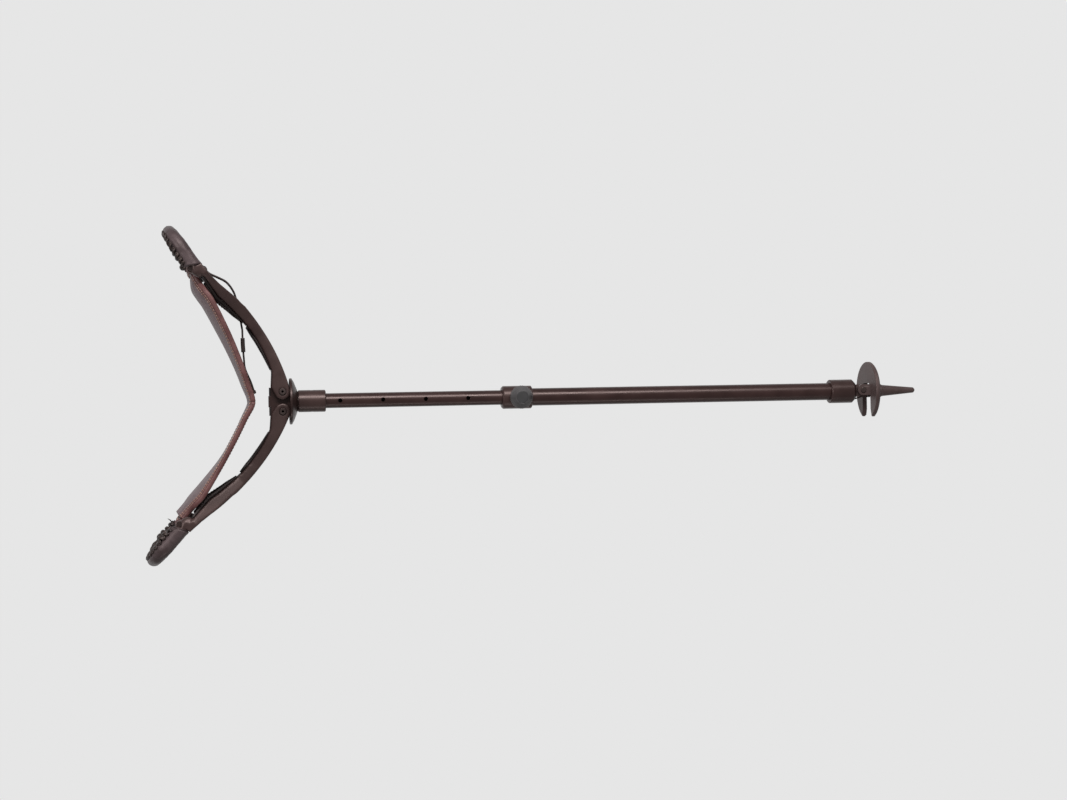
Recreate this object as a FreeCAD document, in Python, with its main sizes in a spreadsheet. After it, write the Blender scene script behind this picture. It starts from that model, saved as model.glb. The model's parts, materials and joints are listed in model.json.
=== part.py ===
import FreeCAD, Part
import math
import os
import Sketcher

# Walking stick seat: a telescoping stick with a ground spike and hinged ground plate,
# and two folding arms with leather-bound hand loops that carry a leather sling seat.
# Millimetres. +Z up the stick, origin on the shaft's axis at the ground plate's underside,
# -Y is the front, where the height lock's knob is. Arm A opens to +X and arm B to -X.

doc = FreeCAD.newDocument("walking_stick_seat")
sheet = doc.addObject("Spreadsheet::Sheet", "sizes")

driving = [
    # telescoping tubes
    ("lower_dia", 19.05), ("lower_wall", 0.9), ("lower_long", 391.0),
    ("inner_dia", 15.9), ("inner_wall", 1.2), ("inner_long", 314.0), ("inner_overlap", 88.0),
    ("liner_long", 60.0), ("end_bush_long", 30.0), ("end_bush_rim", 2.0),
    ("fit_gap", 0.05), ("run_gap", 0.3), ("edge_small", 0.4), ("edge_large", 0.8),
    # height holes, counted down from the inner tube's top
    ("hole_down", 43.8), ("hole_pitch", 46.2), ("hole_radius", 2.3),
    # height lock
    ("clamp_over", 6.0), ("clamp_long", 33.0), ("clamp_dia", 24.9), ("clamp_chamfer", 1.6),
    ("lock_rise", 13.4), ("screw_radius", 3.0), ("screw_travel", 2.0), ("nose_radius", 1.8),
    ("nose_long", 2.2), ("knob_dia", 25.4), ("knob_depth", 9.6), ("knob_band", 2.6), ("knob_face_dia", 15.6),
    ("knob_flutes", 36.0), ("flute_depth", 0.8), ("knob_cap_dia", 13.2), ("knob_cap_thick", 1.0),
    # ferrule, neck and spike
    ("ferrule_long", 29.3), ("ferrule_floor", 6.7), ("ferrule_dia", 26.4), ("ferrule_chamfer", 3.2),
    ("neck_half_x", 6.4), ("neck_below", 8.0), ("neck_stem_dia", 14.0), ("neck_stem_depth", 13.0),
    ("spike_collar", 5.0), ("spike_long", 39.0), ("spike_top_dia", 14.6), ("spike_start_dia", 12.8),
    ("spike_tip_dia", 6.0), ("spike_stud_dia", 7.0), ("spike_stud_top", 4.0),
    # ground plate
    ("plate_dia", 65.6), ("plate_thick", 5.0), ("plate_edge", 1.6), ("slot_half", 12.3), ("slot_end", 8.6),
    ("slot_flare", 5.0), ("ear_thick", 3.6), ("ear_radius", 6.1), ("ear_clear", 1.0),
    ("plate_pin_x", 1.4), ("plate_pin_z", 13.2), ("plate_pin_dia", 5.0), ("plate_pin_head", 6.4),
    ("plate_pin_head_high", 1.2), ("spring_thick", 0.8), ("spring_wide", 9.0), ("spring_low", 2.4),
    ("spring_bend", 12.0), ("spring_lift", 2.0),
    # head
    ("collar_over", 0.8), ("collar_long", 29.3), ("collar_dia", 23.6), ("rivet_dia", 4.0),
    ("washer_dia", 20.4), ("washer_thick", 1.2), ("dish_dia", 49.6), ("dish_thick", 5.2),
    ("dish_lip", 2.8), ("dish_rim_wide", 4.4), ("dish_wall", 4.2), ("dish_slope", 3.0),
    ("pivot_half", 10.6), ("pivot_rise", 10.3), ("pivot_dia", 6.0), ("pivot_head_dia", 7.4),
    ("pivot_head", 0.9), ("pivot_eye_dia", 2.6),
    ("lug_thick", 12.0), ("lug_radius", 8.2), ("lug_foot", 3.0), ("lug_stem_long", 8.0),
    ("tower_half", 5.9), ("tower_rise", 14.7), ("shoulder_half", 15.0), ("shoulder_rise", 12.1),
    ("buffer_thick", 1.8),
    # arms, in the arm's own frame: x outwards from the pivot line, z from pivot to hand loop
    ("open_a", 56.4), ("open_b", 48.7), ("ear_wide", 6.1), ("boss_radius", 8.8), ("arm_long", 158.0),
    ("heel_out", 11.0), ("heel_z", 6.5), ("bow_out", 20.2), ("bow_z", 70.0), ("neck_out", 8.4),
    ("neck_down", 14.0), ("end_out", 7.6), ("end_in", 0.6),
    ("belly_in", 10.9), ("belly_z", 62.0), ("fork_in_down", 38.0), ("root_in", 4.6), ("root_in_z", 24.0),
    ("root_step", -7.6), ("root_step_z", 10.0), ("slot_depth", 24.5),
    ("stem_half", 12.4), ("stem_end", 62.0), ("crotch_half", 15.5), ("crotch_z", 84.0),
    ("fork_half", 50.0), ("fork_down", 11.0), ("fork_swell", 1.5), ("branch_wide", 16.0),
    ("throat_low_half", 6.5), ("throat_low", 79.0), ("throat_round", 3.0), ("throat_down", 11.5),
    ("throat_corner_z", 6.5), ("throat_corner_y", 4.0),
    ("guard_thick", 4.8), ("guard_start", 25.5), ("guard_gap_low", 77.0),
    ("guard_gap_high", 84.0), ("guard_inset", 1.5),
    # hand loops
    ("loop_inset", 6.0), ("loop_long", 48.4), ("loop_x", -1.9), ("loop_corner", 22.0),
    ("loop_crown", 90.0), ("loop_core", 6.1), ("core_down", 6.0), ("leather_thick", 2.4),
    ("leather_rise", 6.0),
    ("lace_rise", 2.0), ("lace_pitch", 5.6), ("lace_wide", 3.4), ("lace_thick", 2.4), ("lace_span", 88.0),
    # sling rods
    ("rod_radius", 2.4), ("rod_x", -6.5), ("rod_rise", 0.6), ("rod_over", 1.5), ("eye_radius", 4.4),
    ("eye_wide", 6.0), ("hem_thick", 2.6), ("hem_short", 2.0),
    # leather sling, measured from its fold over the head to each hem
    ("seat_inset", 2.0), ("seat_thick", 4.6), ("seat_fold_rise", 29.5), ("seat_touch_down", 40.0),
    ("seat_sag_a", 3.6), ("seat_sag_b", 2.0), ("seat_crown_fold", 3.6),
    ("seat_crown_near_a", 6.0), ("seat_crown_far_a", 8.2),
    ("seat_crown_touch_a", 10.2), ("seat_crown_end_a", 2.4),
    ("seat_crown_near_b", 0.8), ("seat_crown_far_b", 3.4),
    ("seat_crown_touch_b", 6.8), ("seat_crown_end_b", 3.0),
    # closing strap, its heights on the fork counted down from the arm's end
    ("strap_half", 5.5), ("strap_thick", 1.9), ("strap_foot_down", 1.0), ("strap_rise_down", 10.5),
    ("strap_bow_x", 17.9), ("strap_bow_down", 34.0), ("strap_turn_x", 15.4), ("strap_turn_down", 51.0),
    ("strap_pass_x", 2.7), ("strap_pass_under", 1.0), ("tail_mid_x", -5.9), ("tail_mid_z", 64.5),
    ("tail_bend_x", -18.4), ("tail_bend_z", 42.0), ("tail_low_x", -21.2), ("tail_low_z", 28.4),
    ("tail_end_x", -25.1), ("tail_end_z", 14.5), ("keeper_thick", 1.3), ("keeper_long", 6.5),
    ("stud_radius", 2.0), ("stud_head", 3.4), ("stud_dome", 1.8), ("stud_down", 6.5), ("stud_deep", 4.0),
]
for row, (alias, number) in enumerate(driving, start=1):
    sheet.set("A%d" % row, alias)
    sheet.set("B%d" % row, repr(number))
    sheet.setAlias("B%d" % row, alias)
doc.recompute()


class Size:
    # a number together with the sheet expression that gives it
    def __init__(self, value, text):
        self.value = value
        self.text = text

    def __add__(self, other):
        other = as_size(other)
        return Size(self.value + other.value, "(%s + %s)" % (self.text, other.text))

    def __sub__(self, other):
        other = as_size(other)
        return Size(self.value - other.value, "(%s - %s)" % (self.text, other.text))

    def __mul__(self, other):
        other = as_size(other)
        return Size(self.value * other.value, "(%s * %s)" % (self.text, other.text))

    def __truediv__(self, other):
        other = as_size(other)
        return Size(self.value / other.value, "(%s / %s)" % (self.text, other.text))

    def __neg__(self):
        return Size(-self.value, "(0 - %s)" % self.text)

    def __radd__(self, other):
        return as_size(other) + self

    def __rsub__(self, other):
        return as_size(other) - self


def as_size(number):
    if isinstance(number, Size):
        return number
    return Size(float(number), repr(float(number)))


S = {alias: Size(float(number), "sizes." + alias) for alias, number in driving}


def bind(thing, prop, size):
    thing.setExpression(prop, as_size(size).text)


# Heights up the stick, each counted from the piece below it

ear_in = S["slot_half"] - S["ear_thick"]
neck_half_y = ear_in - S["run_gap"]
ferrule_base = S["plate_pin_z"] + S["ear_radius"] + S["ear_clear"]
ferrule_top = ferrule_base + S["ferrule_long"]
lower_base = ferrule_base + S["ferrule_floor"]
lower_top = lower_base + S["lower_long"]
neck_stem_top = lower_base + S["neck_stem_depth"]
spike_shoulder = -S["neck_below"]
spike_start = spike_shoulder - S["spike_collar"]
spike_tip = spike_start - S["spike_long"]
clamp_top = lower_top + S["clamp_over"]
clamp_base = clamp_top - S["clamp_long"]
lock_height = clamp_base + S["lock_rise"]
inner_base = lower_top - S["inner_overlap"]
inner_top = inner_base + S["inner_long"]
hole_top = inner_top - S["hole_down"]
collar_top = inner_top + S["collar_over"]
collar_base = collar_top - S["collar_long"]
washer_top = collar_top + S["washer_thick"]
dish_floor = washer_top + S["dish_thick"]
dish_rim = dish_floor + S["dish_lip"]
pivot_height = dish_floor + S["pivot_rise"]
tower_top = pivot_height + S["tower_rise"]
shoulder_top = pivot_height + S["shoulder_rise"]
seat_fold_z = pivot_height + S["seat_fold_rise"]

# Heights and half widths along an arm, counted from its pivot and from the fork's end

arm_end = S["arm_long"]
neck_z = arm_end - S["neck_down"]
fork_z = arm_end - S["fork_down"]
fork_in_z = arm_end - S["fork_in_down"]
throat_top = arm_end - S["throat_down"]
throat_high = throat_top - S["throat_corner_z"]
throat_high_half = S["fork_half"] - S["branch_wide"]
loop_half = S["fork_half"] - S["loop_inset"]
loop_top = arm_end + S["loop_long"]
core_start = arm_end - S["core_down"]
leather_start = arm_end + S["leather_rise"]
lace_start = leather_start + S["lace_rise"]
rod_z = arm_end + S["rod_rise"]
hem_half = loop_half - S["eye_wide"] - S["hem_short"]
seat_half_wide = S["fork_half"] - S["seat_inset"]
seat_touch = arm_end - S["seat_touch_down"]
strap_foot = arm_end - S["strap_foot_down"]
strap_rise_z = arm_end - S["strap_rise_down"]
strap_bow_z = arm_end - S["strap_bow_down"]
strap_turn_z = arm_end - S["strap_turn_down"]
strap_pass_z = S["throat_low"] - S["strap_pass_under"]
stud_z = arm_end - S["stud_down"]


# Sub-part bodies and the sketches that shape them

PLANES = {"XY": "XY_Plane", "XZ": "XZ_Plane", "YZ": "YZ_Plane"}
pieces = []


def new_body(label):
    body = doc.addObject("PartDesign::Body", label)
    body.Label = label
    pieces.append(body)
    return body


def plane_of(body, plane):
    for feature in body.Origin.OriginFeatures:
        if feature.Role == PLANES[plane]:
            return feature
    raise ValueError(plane)


def new_sketch(body, plane, name):
    sketch = body.newObject("Sketcher::SketchObject", name)
    sketch.AttachmentSupport = (plane_of(body, plane), [""])
    sketch.MapMode = "FlatFace"
    return sketch


def pin_point(sketch, geometry, end, x, y):
    # ties one end of an edge to the sketch's origin by two bound distances
    for kind, size in (("DistanceX", x), ("DistanceY", y)):
        size = as_size(size)
        index = sketch.addConstraint(Sketcher.Constraint(kind, -1, 1, geometry, end, size.value))
        if not size.text.replace(".", "").replace("-", "").isdigit():
            sketch.setExpression("Constraints[%d]" % index, size.text)


def outline(sketch, corners):
    # a closed outline: each corner is (x, y) or (x, y, via_x, via_y), where the last two
    # give a point that an arc to the next corner passes through
    edges = []
    count = len(corners)
    for k in range(count):
        here = [as_size(v) for v in corners[k]]
        there = [as_size(v) for v in corners[(k + 1) % count]]
        start = FreeCAD.Vector(here[0].value, here[1].value, 0)
        stop = FreeCAD.Vector(there[0].value, there[1].value, 0)
        if len(here) == 2:
            edges.append((sketch.addGeometry(Part.LineSegment(start, stop)), 1, 2))
            continue
        via = FreeCAD.Vector(here[2].value, here[3].value, 0)
        # an arc's first end is the one it leaves anticlockwise
        clockwise = (via - start).cross(stop - via).z < 0
        ends = (stop, via, start) if clockwise else (start, via, stop)
        edge = sketch.addGeometry(Part.ArcOfCircle(*ends))
        edges.append((edge, 2, 1) if clockwise else (edge, 1, 2))
        marker = sketch.addGeometry(Part.Point(via), True)
        pin_point(sketch, marker, 1, here[2], here[3])
        sketch.addConstraint(Sketcher.Constraint("PointOnObject", marker, 1, edge))
    for k in range(count):
        edge, first, last = edges[k]
        following = edges[(k + 1) % count]
        sketch.addConstraint(Sketcher.Constraint("Coincident", edge, last, following[0], following[1]))
        pin_point(sketch, edge, first, corners[k][0], corners[k][1])


def round_hole(sketch, x, y, radius):
    x, y, radius = as_size(x), as_size(y), as_size(radius)
    centre = FreeCAD.Vector(x.value, y.value, 0)
    edge = sketch.addGeometry(Part.Circle(centre, FreeCAD.Vector(0, 0, 1), radius.value))
    pin_point(sketch, edge, 3, x, y)
    index = sketch.addConstraint(Sketcher.Constraint("Radius", edge, radius.value))
    sketch.setExpression("Constraints[%d]" % index, radius.text)


def turned(label, corners):
    # a turned piece: half profile of (radius, height) corners, revolved about the Z axis
    body = new_body(label)
    sketch = new_sketch(body, "XZ", label + "_profile")
    outline(sketch, corners)
    spin = body.newObject("PartDesign::Revolution", label + "_turned")
    spin.Profile = sketch
    spin.ReferenceAxis = (sketch, ["V_Axis"])
    spin.Angle = 360
    return body


def pad(body, sketch, length, both_sides=True, reverse=False):
    feature = body.newObject("PartDesign::Pad", sketch.Name + "_pad")
    feature.Profile = sketch
    bind(feature, "Length", length)
    feature.Midplane = both_sides
    feature.Reversed = reverse
    return feature


def pocket(body, sketch, length, both_sides=True, reverse=False):
    before = body.Shape.Volume if body.Shape.Solids else None
    feature = body.newObject("PartDesign::Pocket", sketch.Name + "_cut")
    feature.Profile = sketch
    bind(feature, "Length", length)
    feature.Midplane = both_sides
    feature.Reversed = reverse
    doc.recompute()
    if before is not None and not feature.Shape.Volume < before:
        raise RuntimeError(feature.Name + " cuts nothing")
    return feature


def cut_across(body, plane, name, x, y, radius, length, both_sides=True, reverse=False):
    # a round hole along the normal of one of the body's planes
    doc.recompute()
    sketch = new_sketch(body, plane, name)
    round_hole(sketch, x, y, radius)
    return pocket(body, sketch, length, both_sides, reverse)


def place(body, x=0, y=0, z=0, rotation=None):
    body.Placement = FreeCAD.Placement(
        FreeCAD.Vector(as_size(x).value, as_size(y).value, as_size(z).value),
        rotation or FreeCAD.Rotation())
    for axis, size in (("x", x), ("y", y), ("z", z)):
        if isinstance(size, Size):
            body.setExpression("Placement.Base." + axis, size.text)


def shaped(label, shape):
    feature = doc.addObject("Part::Feature", label)
    feature.Label = label
    feature.Shape = shape
    pieces.append(feature)
    return feature


# Telescoping tubes

# how far a cutting outline runs past the piece that it cuts
clear = 2.0
lower_r = S["lower_dia"] / 2
lower_bore = lower_r - S["lower_wall"]
inner_r = S["inner_dia"] / 2
inner_bore = inner_r - S["inner_wall"]

lower_tube = turned("lower_tube", [
    (lower_bore, lower_base), (lower_r, lower_base), (lower_r, lower_top), (lower_bore, lower_top)])
cut_across(lower_tube, "XZ", "lower_tube_lock_hole", 0, lock_height, S["screw_radius"] + S["run_gap"],
           S["lower_dia"], False, True)

liner = turned("tube_liner", [
    (inner_r + S["fit_gap"], lower_top - S["liner_long"]),
    (lower_bore - S["fit_gap"], lower_top - S["liner_long"]),
    (lower_bore - S["fit_gap"], lower_top),
    (inner_r + S["fit_gap"], lower_top)])
cut_across(liner, "XZ", "tube_liner_lock_hole", 0, lock_height, S["screw_radius"] + S["run_gap"],
           S["lower_dia"], False, True)

inner_tube = turned("inner_tube", [
    (inner_bore, inner_base), (inner_r, inner_base), (inner_r, inner_top), (inner_bore, inner_top)])
doc.recompute()
height_holes = new_sketch(inner_tube, "XZ", "height_holes")
hole_heights = [hole_top - S["hole_pitch"] * k for k in range(4)] + [lock_height]
for height in hole_heights:
    round_hole(height_holes, 0, height, S["hole_radius"])
pocket(inner_tube, height_holes, S["inner_dia"], False, True)

end_bush = turned("inner_tube_bush", [
    (0, inner_base - S["end_bush_rim"]), (inner_r, inner_base - S["end_bush_rim"]),
    (inner_r, inner_base - S["fit_gap"]),
    (inner_bore - S["fit_gap"], inner_base - S["fit_gap"]),
    (inner_bore - S["fit_gap"], inner_base + S["end_bush_long"]), (0, inner_base + S["end_bush_long"])])

# Height lock: collar, screw and knurled knob

clamp_r = S["clamp_dia"] / 2
clamp = turned("height_clamp", [
    (lower_r + S["fit_gap"], clamp_base),
    (clamp_r - S["clamp_chamfer"] / 2, clamp_base),
    (clamp_r, clamp_base + S["clamp_chamfer"] / 2),
    (clamp_r, clamp_top - S["clamp_chamfer"]),
    (clamp_r - S["clamp_chamfer"], clamp_top),
    (inner_r + S["run_gap"], clamp_top),
    (inner_r + S["run_gap"], lower_top + S["fit_gap"]),
    (lower_r + S["fit_gap"], lower_top + S["fit_gap"])])
cut_across(clamp, "XZ", "clamp_screw_hole", 0, lock_height, S["screw_radius"] + S["fit_gap"],
           S["clamp_dia"], False, True)

knob_gap = S["run_gap"] + S["screw_travel"]
# distances out from the stick's axis along -Y
knob_base = clamp_r + knob_gap
knob_front = knob_base + S["knob_depth"]
screw_end = knob_base + S["knob_depth"] / 2
nose_tip = inner_r + S["run_gap"]

along_front = FreeCAD.Rotation(FreeCAD.Vector(1, 0, 0), 90)
# a body turned by this stands with its own +Z along the stick's -Y

screw = turned("lock_screw", [
    (0, nose_tip), (S["nose_radius"] - S["edge_small"], nose_tip),
    (S["nose_radius"], nose_tip + S["edge_small"]), (S["nose_radius"], nose_tip + S["nose_long"]),
    (S["screw_radius"], nose_tip + S["nose_long"] + S["edge_small"]),
    (S["screw_radius"], screw_end), (0, screw_end)])
place(screw, 0, 0, lock_height, along_front)

knob_r = S["knob_dia"] / 2
knob_face = S["knob_face_dia"] / 2
cap_r = S["knob_cap_dia"] / 2
knob = turned("lock_knob", [
    (S["screw_radius"] + S["fit_gap"], knob_base),
    (knob_r - S["edge_large"], knob_base),
    (knob_r, knob_base + S["edge_large"]),
    (knob_r, knob_base + S["knob_band"]),
    (knob_face, knob_front),
    (cap_r + S["fit_gap"], knob_front),
    (cap_r + S["fit_gap"], knob_front - S["knob_cap_thick"]),
    (0, knob_front - S["knob_cap_thick"]),
    (0, screw_end + S["fit_gap"]),
    (S["screw_radius"] + S["fit_gap"], screw_end + S["fit_gap"])])
doc.recompute()
# one groove down the rim and cone, then copies round the knob
flute_sketch = new_sketch(knob, "XZ", "knob_flute")
flute_in = knob_r - S["flute_depth"]
flute_out = knob_r + S["flute_depth"]
outline(flute_sketch, [
    (flute_in, knob_base - clear), (flute_out, knob_base - clear),
    (flute_out, knob_front + clear), (knob_face - S["flute_depth"], knob_front + clear),
    (knob_face - S["flute_depth"], knob_front), (flute_in, knob_base + S["knob_band"])])
flute = pocket(knob, flute_sketch, S["flute_depth"] * 1.5)
ring = knob.newObject("PartDesign::PolarPattern", "knob_flutes_ring")
ring.Originals = [flute]
ring.Axis = (flute_sketch, ["V_Axis"])
ring.Angle = 360
bind(ring, "Occurrences", S["knob_flutes"])
knob.Tip = ring
place(knob, 0, 0, lock_height, along_front)

knob_cap = turned("knob_cap", [
    (0, knob_front - S["knob_cap_thick"]), (cap_r, knob_front - S["knob_cap_thick"]),
    (cap_r, knob_front - S["edge_small"]), (cap_r - S["edge_small"], knob_front), (0, knob_front)])
place(knob_cap, 0, 0, lock_height, along_front)

# Ferrule, neck, spike

ferrule_r = S["ferrule_dia"] / 2
stem_r = S["neck_stem_dia"] / 2
ferrule = turned("ferrule_socket", [
    (stem_r + S["fit_gap"], ferrule_base),
    (ferrule_r - S["ferrule_chamfer"], ferrule_base),
    (ferrule_r, ferrule_base + S["ferrule_chamfer"]),
    (ferrule_r, ferrule_top - S["edge_large"]), (ferrule_r - S["edge_large"], ferrule_top),
    (lower_r + S["fit_gap"], ferrule_top),
    (lower_r + S["fit_gap"], lower_base - S["fit_gap"]),
    (stem_r + S["fit_gap"], lower_base - S["fit_gap"])])

neck = new_body("spike_neck")
neck_sketch = new_sketch(neck, "XY", "neck_section")
outline(neck_sketch, [
    (-S["neck_half_x"], -neck_half_y), (S["neck_half_x"], -neck_half_y),
    (S["neck_half_x"], neck_half_y), (-S["neck_half_x"], neck_half_y)])
neck_sketch.AttachmentOffset = FreeCAD.Placement(
    FreeCAD.Vector(0, 0, spike_shoulder.value), FreeCAD.Rotation())
neck_sketch.setExpression("AttachmentOffset.Base.z", spike_shoulder.text)
pad(neck, neck_sketch, ferrule_base - S["fit_gap"] - spike_shoulder, False)
doc.recompute()
stem_sketch = new_sketch(neck, "XZ", "neck_stem")
outline(stem_sketch, [
    (0, ferrule_base - clear), (stem_r, ferrule_base - clear), (stem_r, neck_stem_top), (0, neck_stem_top)])
stem_turn = neck.newObject("PartDesign::Revolution", "neck_stem_turned")
stem_turn.Profile = stem_sketch
stem_turn.ReferenceAxis = (stem_sketch, ["V_Axis"])
stem_turn.Angle = 360
doc.recompute()
cut_across(neck, "XZ", "neck_pin_hole", S["plate_pin_x"], S["plate_pin_z"],
           S["plate_pin_dia"] / 2 + S["fit_gap"], neck_half_y * 3)
stud_hole = new_sketch(neck, "XZ", "neck_stud_hole")
stud_r = S["spike_stud_dia"] / 2
outline(stud_hole, [
    (0, spike_shoulder - clear), (stud_r + S["fit_gap"], spike_shoulder - clear),
    (stud_r + S["fit_gap"], S["spike_stud_top"] + S["fit_gap"]),
    (0, S["spike_stud_top"] + S["fit_gap"])])
stud_groove = neck.newObject("PartDesign::Groove", "neck_stud_groove")
stud_groove.Profile = stud_hole
stud_groove.ReferenceAxis = (stud_hole, ["V_Axis"])
stud_groove.Angle = 360

spike_r = S["spike_top_dia"] / 2
tip_r = S["spike_tip_dia"] / 2
spike = turned("ground_spike", [
    (0, S["spike_stud_top"]), (0, spike_tip), (tip_r / 2, spike_tip),
    (tip_r, spike_tip + tip_r / 2), (S["spike_start_dia"] / 2, spike_start),
    (spike_r, spike_start + S["edge_large"] * 2), (spike_r, spike_shoulder - S["fit_gap"]),
    (stud_r, spike_shoulder - S["fit_gap"]), (stud_r, S["spike_stud_top"])])

# Hinged ground plate

plate = new_body("ground_plate")
plate_r = S["plate_dia"] / 2
plate_sketch = new_sketch(plate, "XZ", "plate_profile")
outline(plate_sketch, [
    (0, 0), (plate_r - S["plate_edge"], 0), (plate_r, S["plate_edge"]),
    (plate_r, S["plate_thick"] - S["plate_edge"] / 2), (plate_r - S["plate_edge"] / 2, S["plate_thick"]),
    (0, S["plate_thick"])])
plate_turn = plate.newObject("PartDesign::Revolution", "plate_turned")
plate_turn.Profile = plate_sketch
plate_turn.ReferenceAxis = (plate_sketch, ["V_Axis"])
plate_turn.Angle = 360
doc.recompute()
slot_sketch = new_sketch(plate, "XY", "plate_slot")
mouth = S["slot_half"] + S["slot_flare"]
mouth_x = plate_r * 0.62
outline(slot_sketch, [
    (S["slot_end"], -S["slot_half"]), (S["slot_end"], S["slot_half"]), (-mouth_x, S["slot_half"]),
    (-(plate_r + clear), mouth), (-(plate_r + clear), -mouth), (-mouth_x, -S["slot_half"])])
pocket(plate, slot_sketch, S["plate_thick"] * 3)
# the ears run a little way into the plate round them
ear_root = S["edge_small"]
for side, sign in (("front", -1), ("back", 1)):
    ear_sketch = new_sketch(plate, "XZ", "plate_ear_" + side)
    outline(ear_sketch, [
        (S["plate_pin_x"] - S["ear_radius"], 0), (S["slot_end"] + ear_root, 0),
        (S["slot_end"] + ear_root, S["plate_thick"]),
        (S["plate_pin_x"] + S["ear_radius"], S["plate_thick"]),
        (S["plate_pin_x"] + S["ear_radius"], S["plate_pin_z"],
         S["plate_pin_x"], S["plate_pin_z"] + S["ear_radius"]),
        (S["plate_pin_x"] - S["ear_radius"], S["plate_pin_z"])])
    ear = plate.newObject("PartDesign::Pad", "ear_pad_" + side)
    ear.Profile = ear_sketch
    ear_sketch.AttachmentOffset = FreeCAD.Placement(
        FreeCAD.Vector(0, 0, -sign * ear_in.value), FreeCAD.Rotation())
    ear_sketch.setExpression("AttachmentOffset.Base.z", (ear_in * -sign).text)
    bind(ear, "Length", S["ear_thick"] + ear_root)
    ear.Reversed = sign > 0
doc.recompute()
cut_across(plate, "XZ", "plate_pin_hole", S["plate_pin_x"], S["plate_pin_z"],
           S["plate_pin_dia"] / 2 + S["fit_gap"], S["slot_half"] * 3)


def double_headed_pin(label, radius, head_radius, half, head_high, eye):
    # a pin with a low head at each end, drilled through when the eye's radius isn't 0
    end = half + head_high
    rim = head_radius - S["edge_small"]
    return turned(label, [
        (eye, -end), (rim, -end), (head_radius, -half - head_high / 2), (head_radius, -half), (radius, -half),
        (radius, half), (head_radius, half), (head_radius, half + head_high / 2), (rim, end), (eye, end)])


plate_pin = double_headed_pin(
    "plate_pin", S["plate_pin_dia"] / 2, S["plate_pin_head"] / 2,
    S["slot_half"] + ear_root + S["run_gap"], S["plate_pin_head_high"], as_size(0))
place(plate_pin, S["plate_pin_x"], 0, S["plate_pin_z"], along_front)

# leaf spring on the neck between the ears, its free end sprung outwards under the ferrule
spring = new_body("plate_spring")
spring_sketch = new_sketch(spring, "XZ", "spring_side")
spring_x = -(S["neck_half_x"] + S["fit_gap"])
spring_out = spring_x - S["spring_thick"]
spring_end = ferrule_base - S["ear_clear"]
outline(spring_sketch, [
    (spring_x, S["spring_bend"]), (spring_x, S["spring_low"]), (spring_out, S["spring_low"]),
    (spring_out, S["spring_bend"]), (spring_out - S["spring_lift"], spring_end),
    (spring_x - S["spring_lift"], spring_end)])
pad(spring, spring_sketch, S["spring_wide"])

# Head: collar, washer, dish and hinge lug

collar_r = S["collar_dia"] / 2
collar_edge = collar_r - S["edge_large"]
collar = turned("head_collar", [
    (inner_r + S["fit_gap"], collar_base), (collar_edge, collar_base),
    (collar_r, collar_base + S["edge_large"]), (collar_r, collar_top - S["edge_large"]),
    (collar_edge, collar_top), (inner_r + S["fit_gap"], collar_top)])
rivet_z = (collar_base + collar_top) / 2
rivet_bore = S["rivet_dia"] / 2 + S["fit_gap"]
for drilled, name in ((collar, "collar_rivet_hole"), (inner_tube, "inner_tube_rivet_hole")):
    cut_across(drilled, "YZ", name, 0, rivet_z, rivet_bore, S["collar_dia"] * 2)
rivet_end = collar_r - S["edge_small"]
rivet = turned("collar_rivet", [
    (0, -rivet_end), (S["rivet_dia"] / 2, -rivet_end), (S["rivet_dia"] / 2, rivet_end), (0, rivet_end)])
place(rivet, 0, 0, rivet_z, FreeCAD.Rotation(FreeCAD.Vector(0, 1, 0), 90))

lug_stem_r = inner_bore - S["fit_gap"]
washer = turned("dish_washer", [
    (lug_stem_r + S["fit_gap"], collar_top), (S["washer_dia"] / 2, collar_top),
    (S["washer_dia"] / 2, washer_top), (lug_stem_r + S["fit_gap"], washer_top)])

dish_r = S["dish_dia"] / 2
dish_in = dish_r - S["dish_rim_wide"]
dish = turned("head_dish", [
    (lug_stem_r + S["fit_gap"], washer_top), (S["washer_dia"] / 2, washer_top),
    (dish_in, washer_top + S["washer_thick"] * 1.5),
    (dish_r, dish_rim - S["dish_wall"]), (dish_r, dish_rim - S["edge_large"]),
    (dish_r - S["edge_large"], dish_rim), (dish_in, dish_rim), (dish_in - S["dish_slope"], dish_floor),
    (lug_stem_r + S["fit_gap"], dish_floor)])

lug = new_body("hinge_lug")
lug_sketch = new_sketch(lug, "XZ", "lug_outline")
lug_foot = S["pivot_half"] + S["lug_foot"]
lug_side = S["pivot_half"] + S["lug_radius"]
flat_low = pivot_height - S["lug_foot"]
flat_high = pivot_height + S["lug_foot"] * 1.5
outline(lug_sketch, [
    (-lug_foot, dish_floor), (lug_foot, dish_floor),
    (lug_side, flat_low), (lug_side, flat_high), (S["shoulder_half"], shoulder_top),
    (S["tower_half"], shoulder_top), (S["tower_half"], tower_top), (-S["tower_half"], tower_top),
    (-S["tower_half"], shoulder_top), (-S["shoulder_half"], shoulder_top),
    (-lug_side, flat_high), (-lug_side, flat_low)])
pad(lug, lug_sketch, S["lug_thick"])
doc.recompute()
lug_stem_sketch = new_sketch(lug, "XZ", "lug_stem")
stem_low = collar_top - S["lug_stem_long"]
outline(lug_stem_sketch, [
    (0, stem_low), (lug_stem_r, stem_low), (lug_stem_r, dish_floor + clear), (0, dish_floor + clear)])
lug_turn = lug.newObject("PartDesign::Revolution", "lug_stem_turned")
lug_turn.Profile = lug_stem_sketch
lug_turn.ReferenceAxis = (lug_stem_sketch, ["V_Axis"])
lug_turn.Angle = 360
doc.recompute()
lug_holes = new_sketch(lug, "XZ", "lug_pivot_holes")
for sign in (-1, 1):
    round_hole(lug_holes, S["pivot_half"] * sign, pivot_height, S["pivot_dia"] / 2 + S["fit_gap"])
pocket(lug, lug_holes, S["lug_thick"] * 2)

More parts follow.
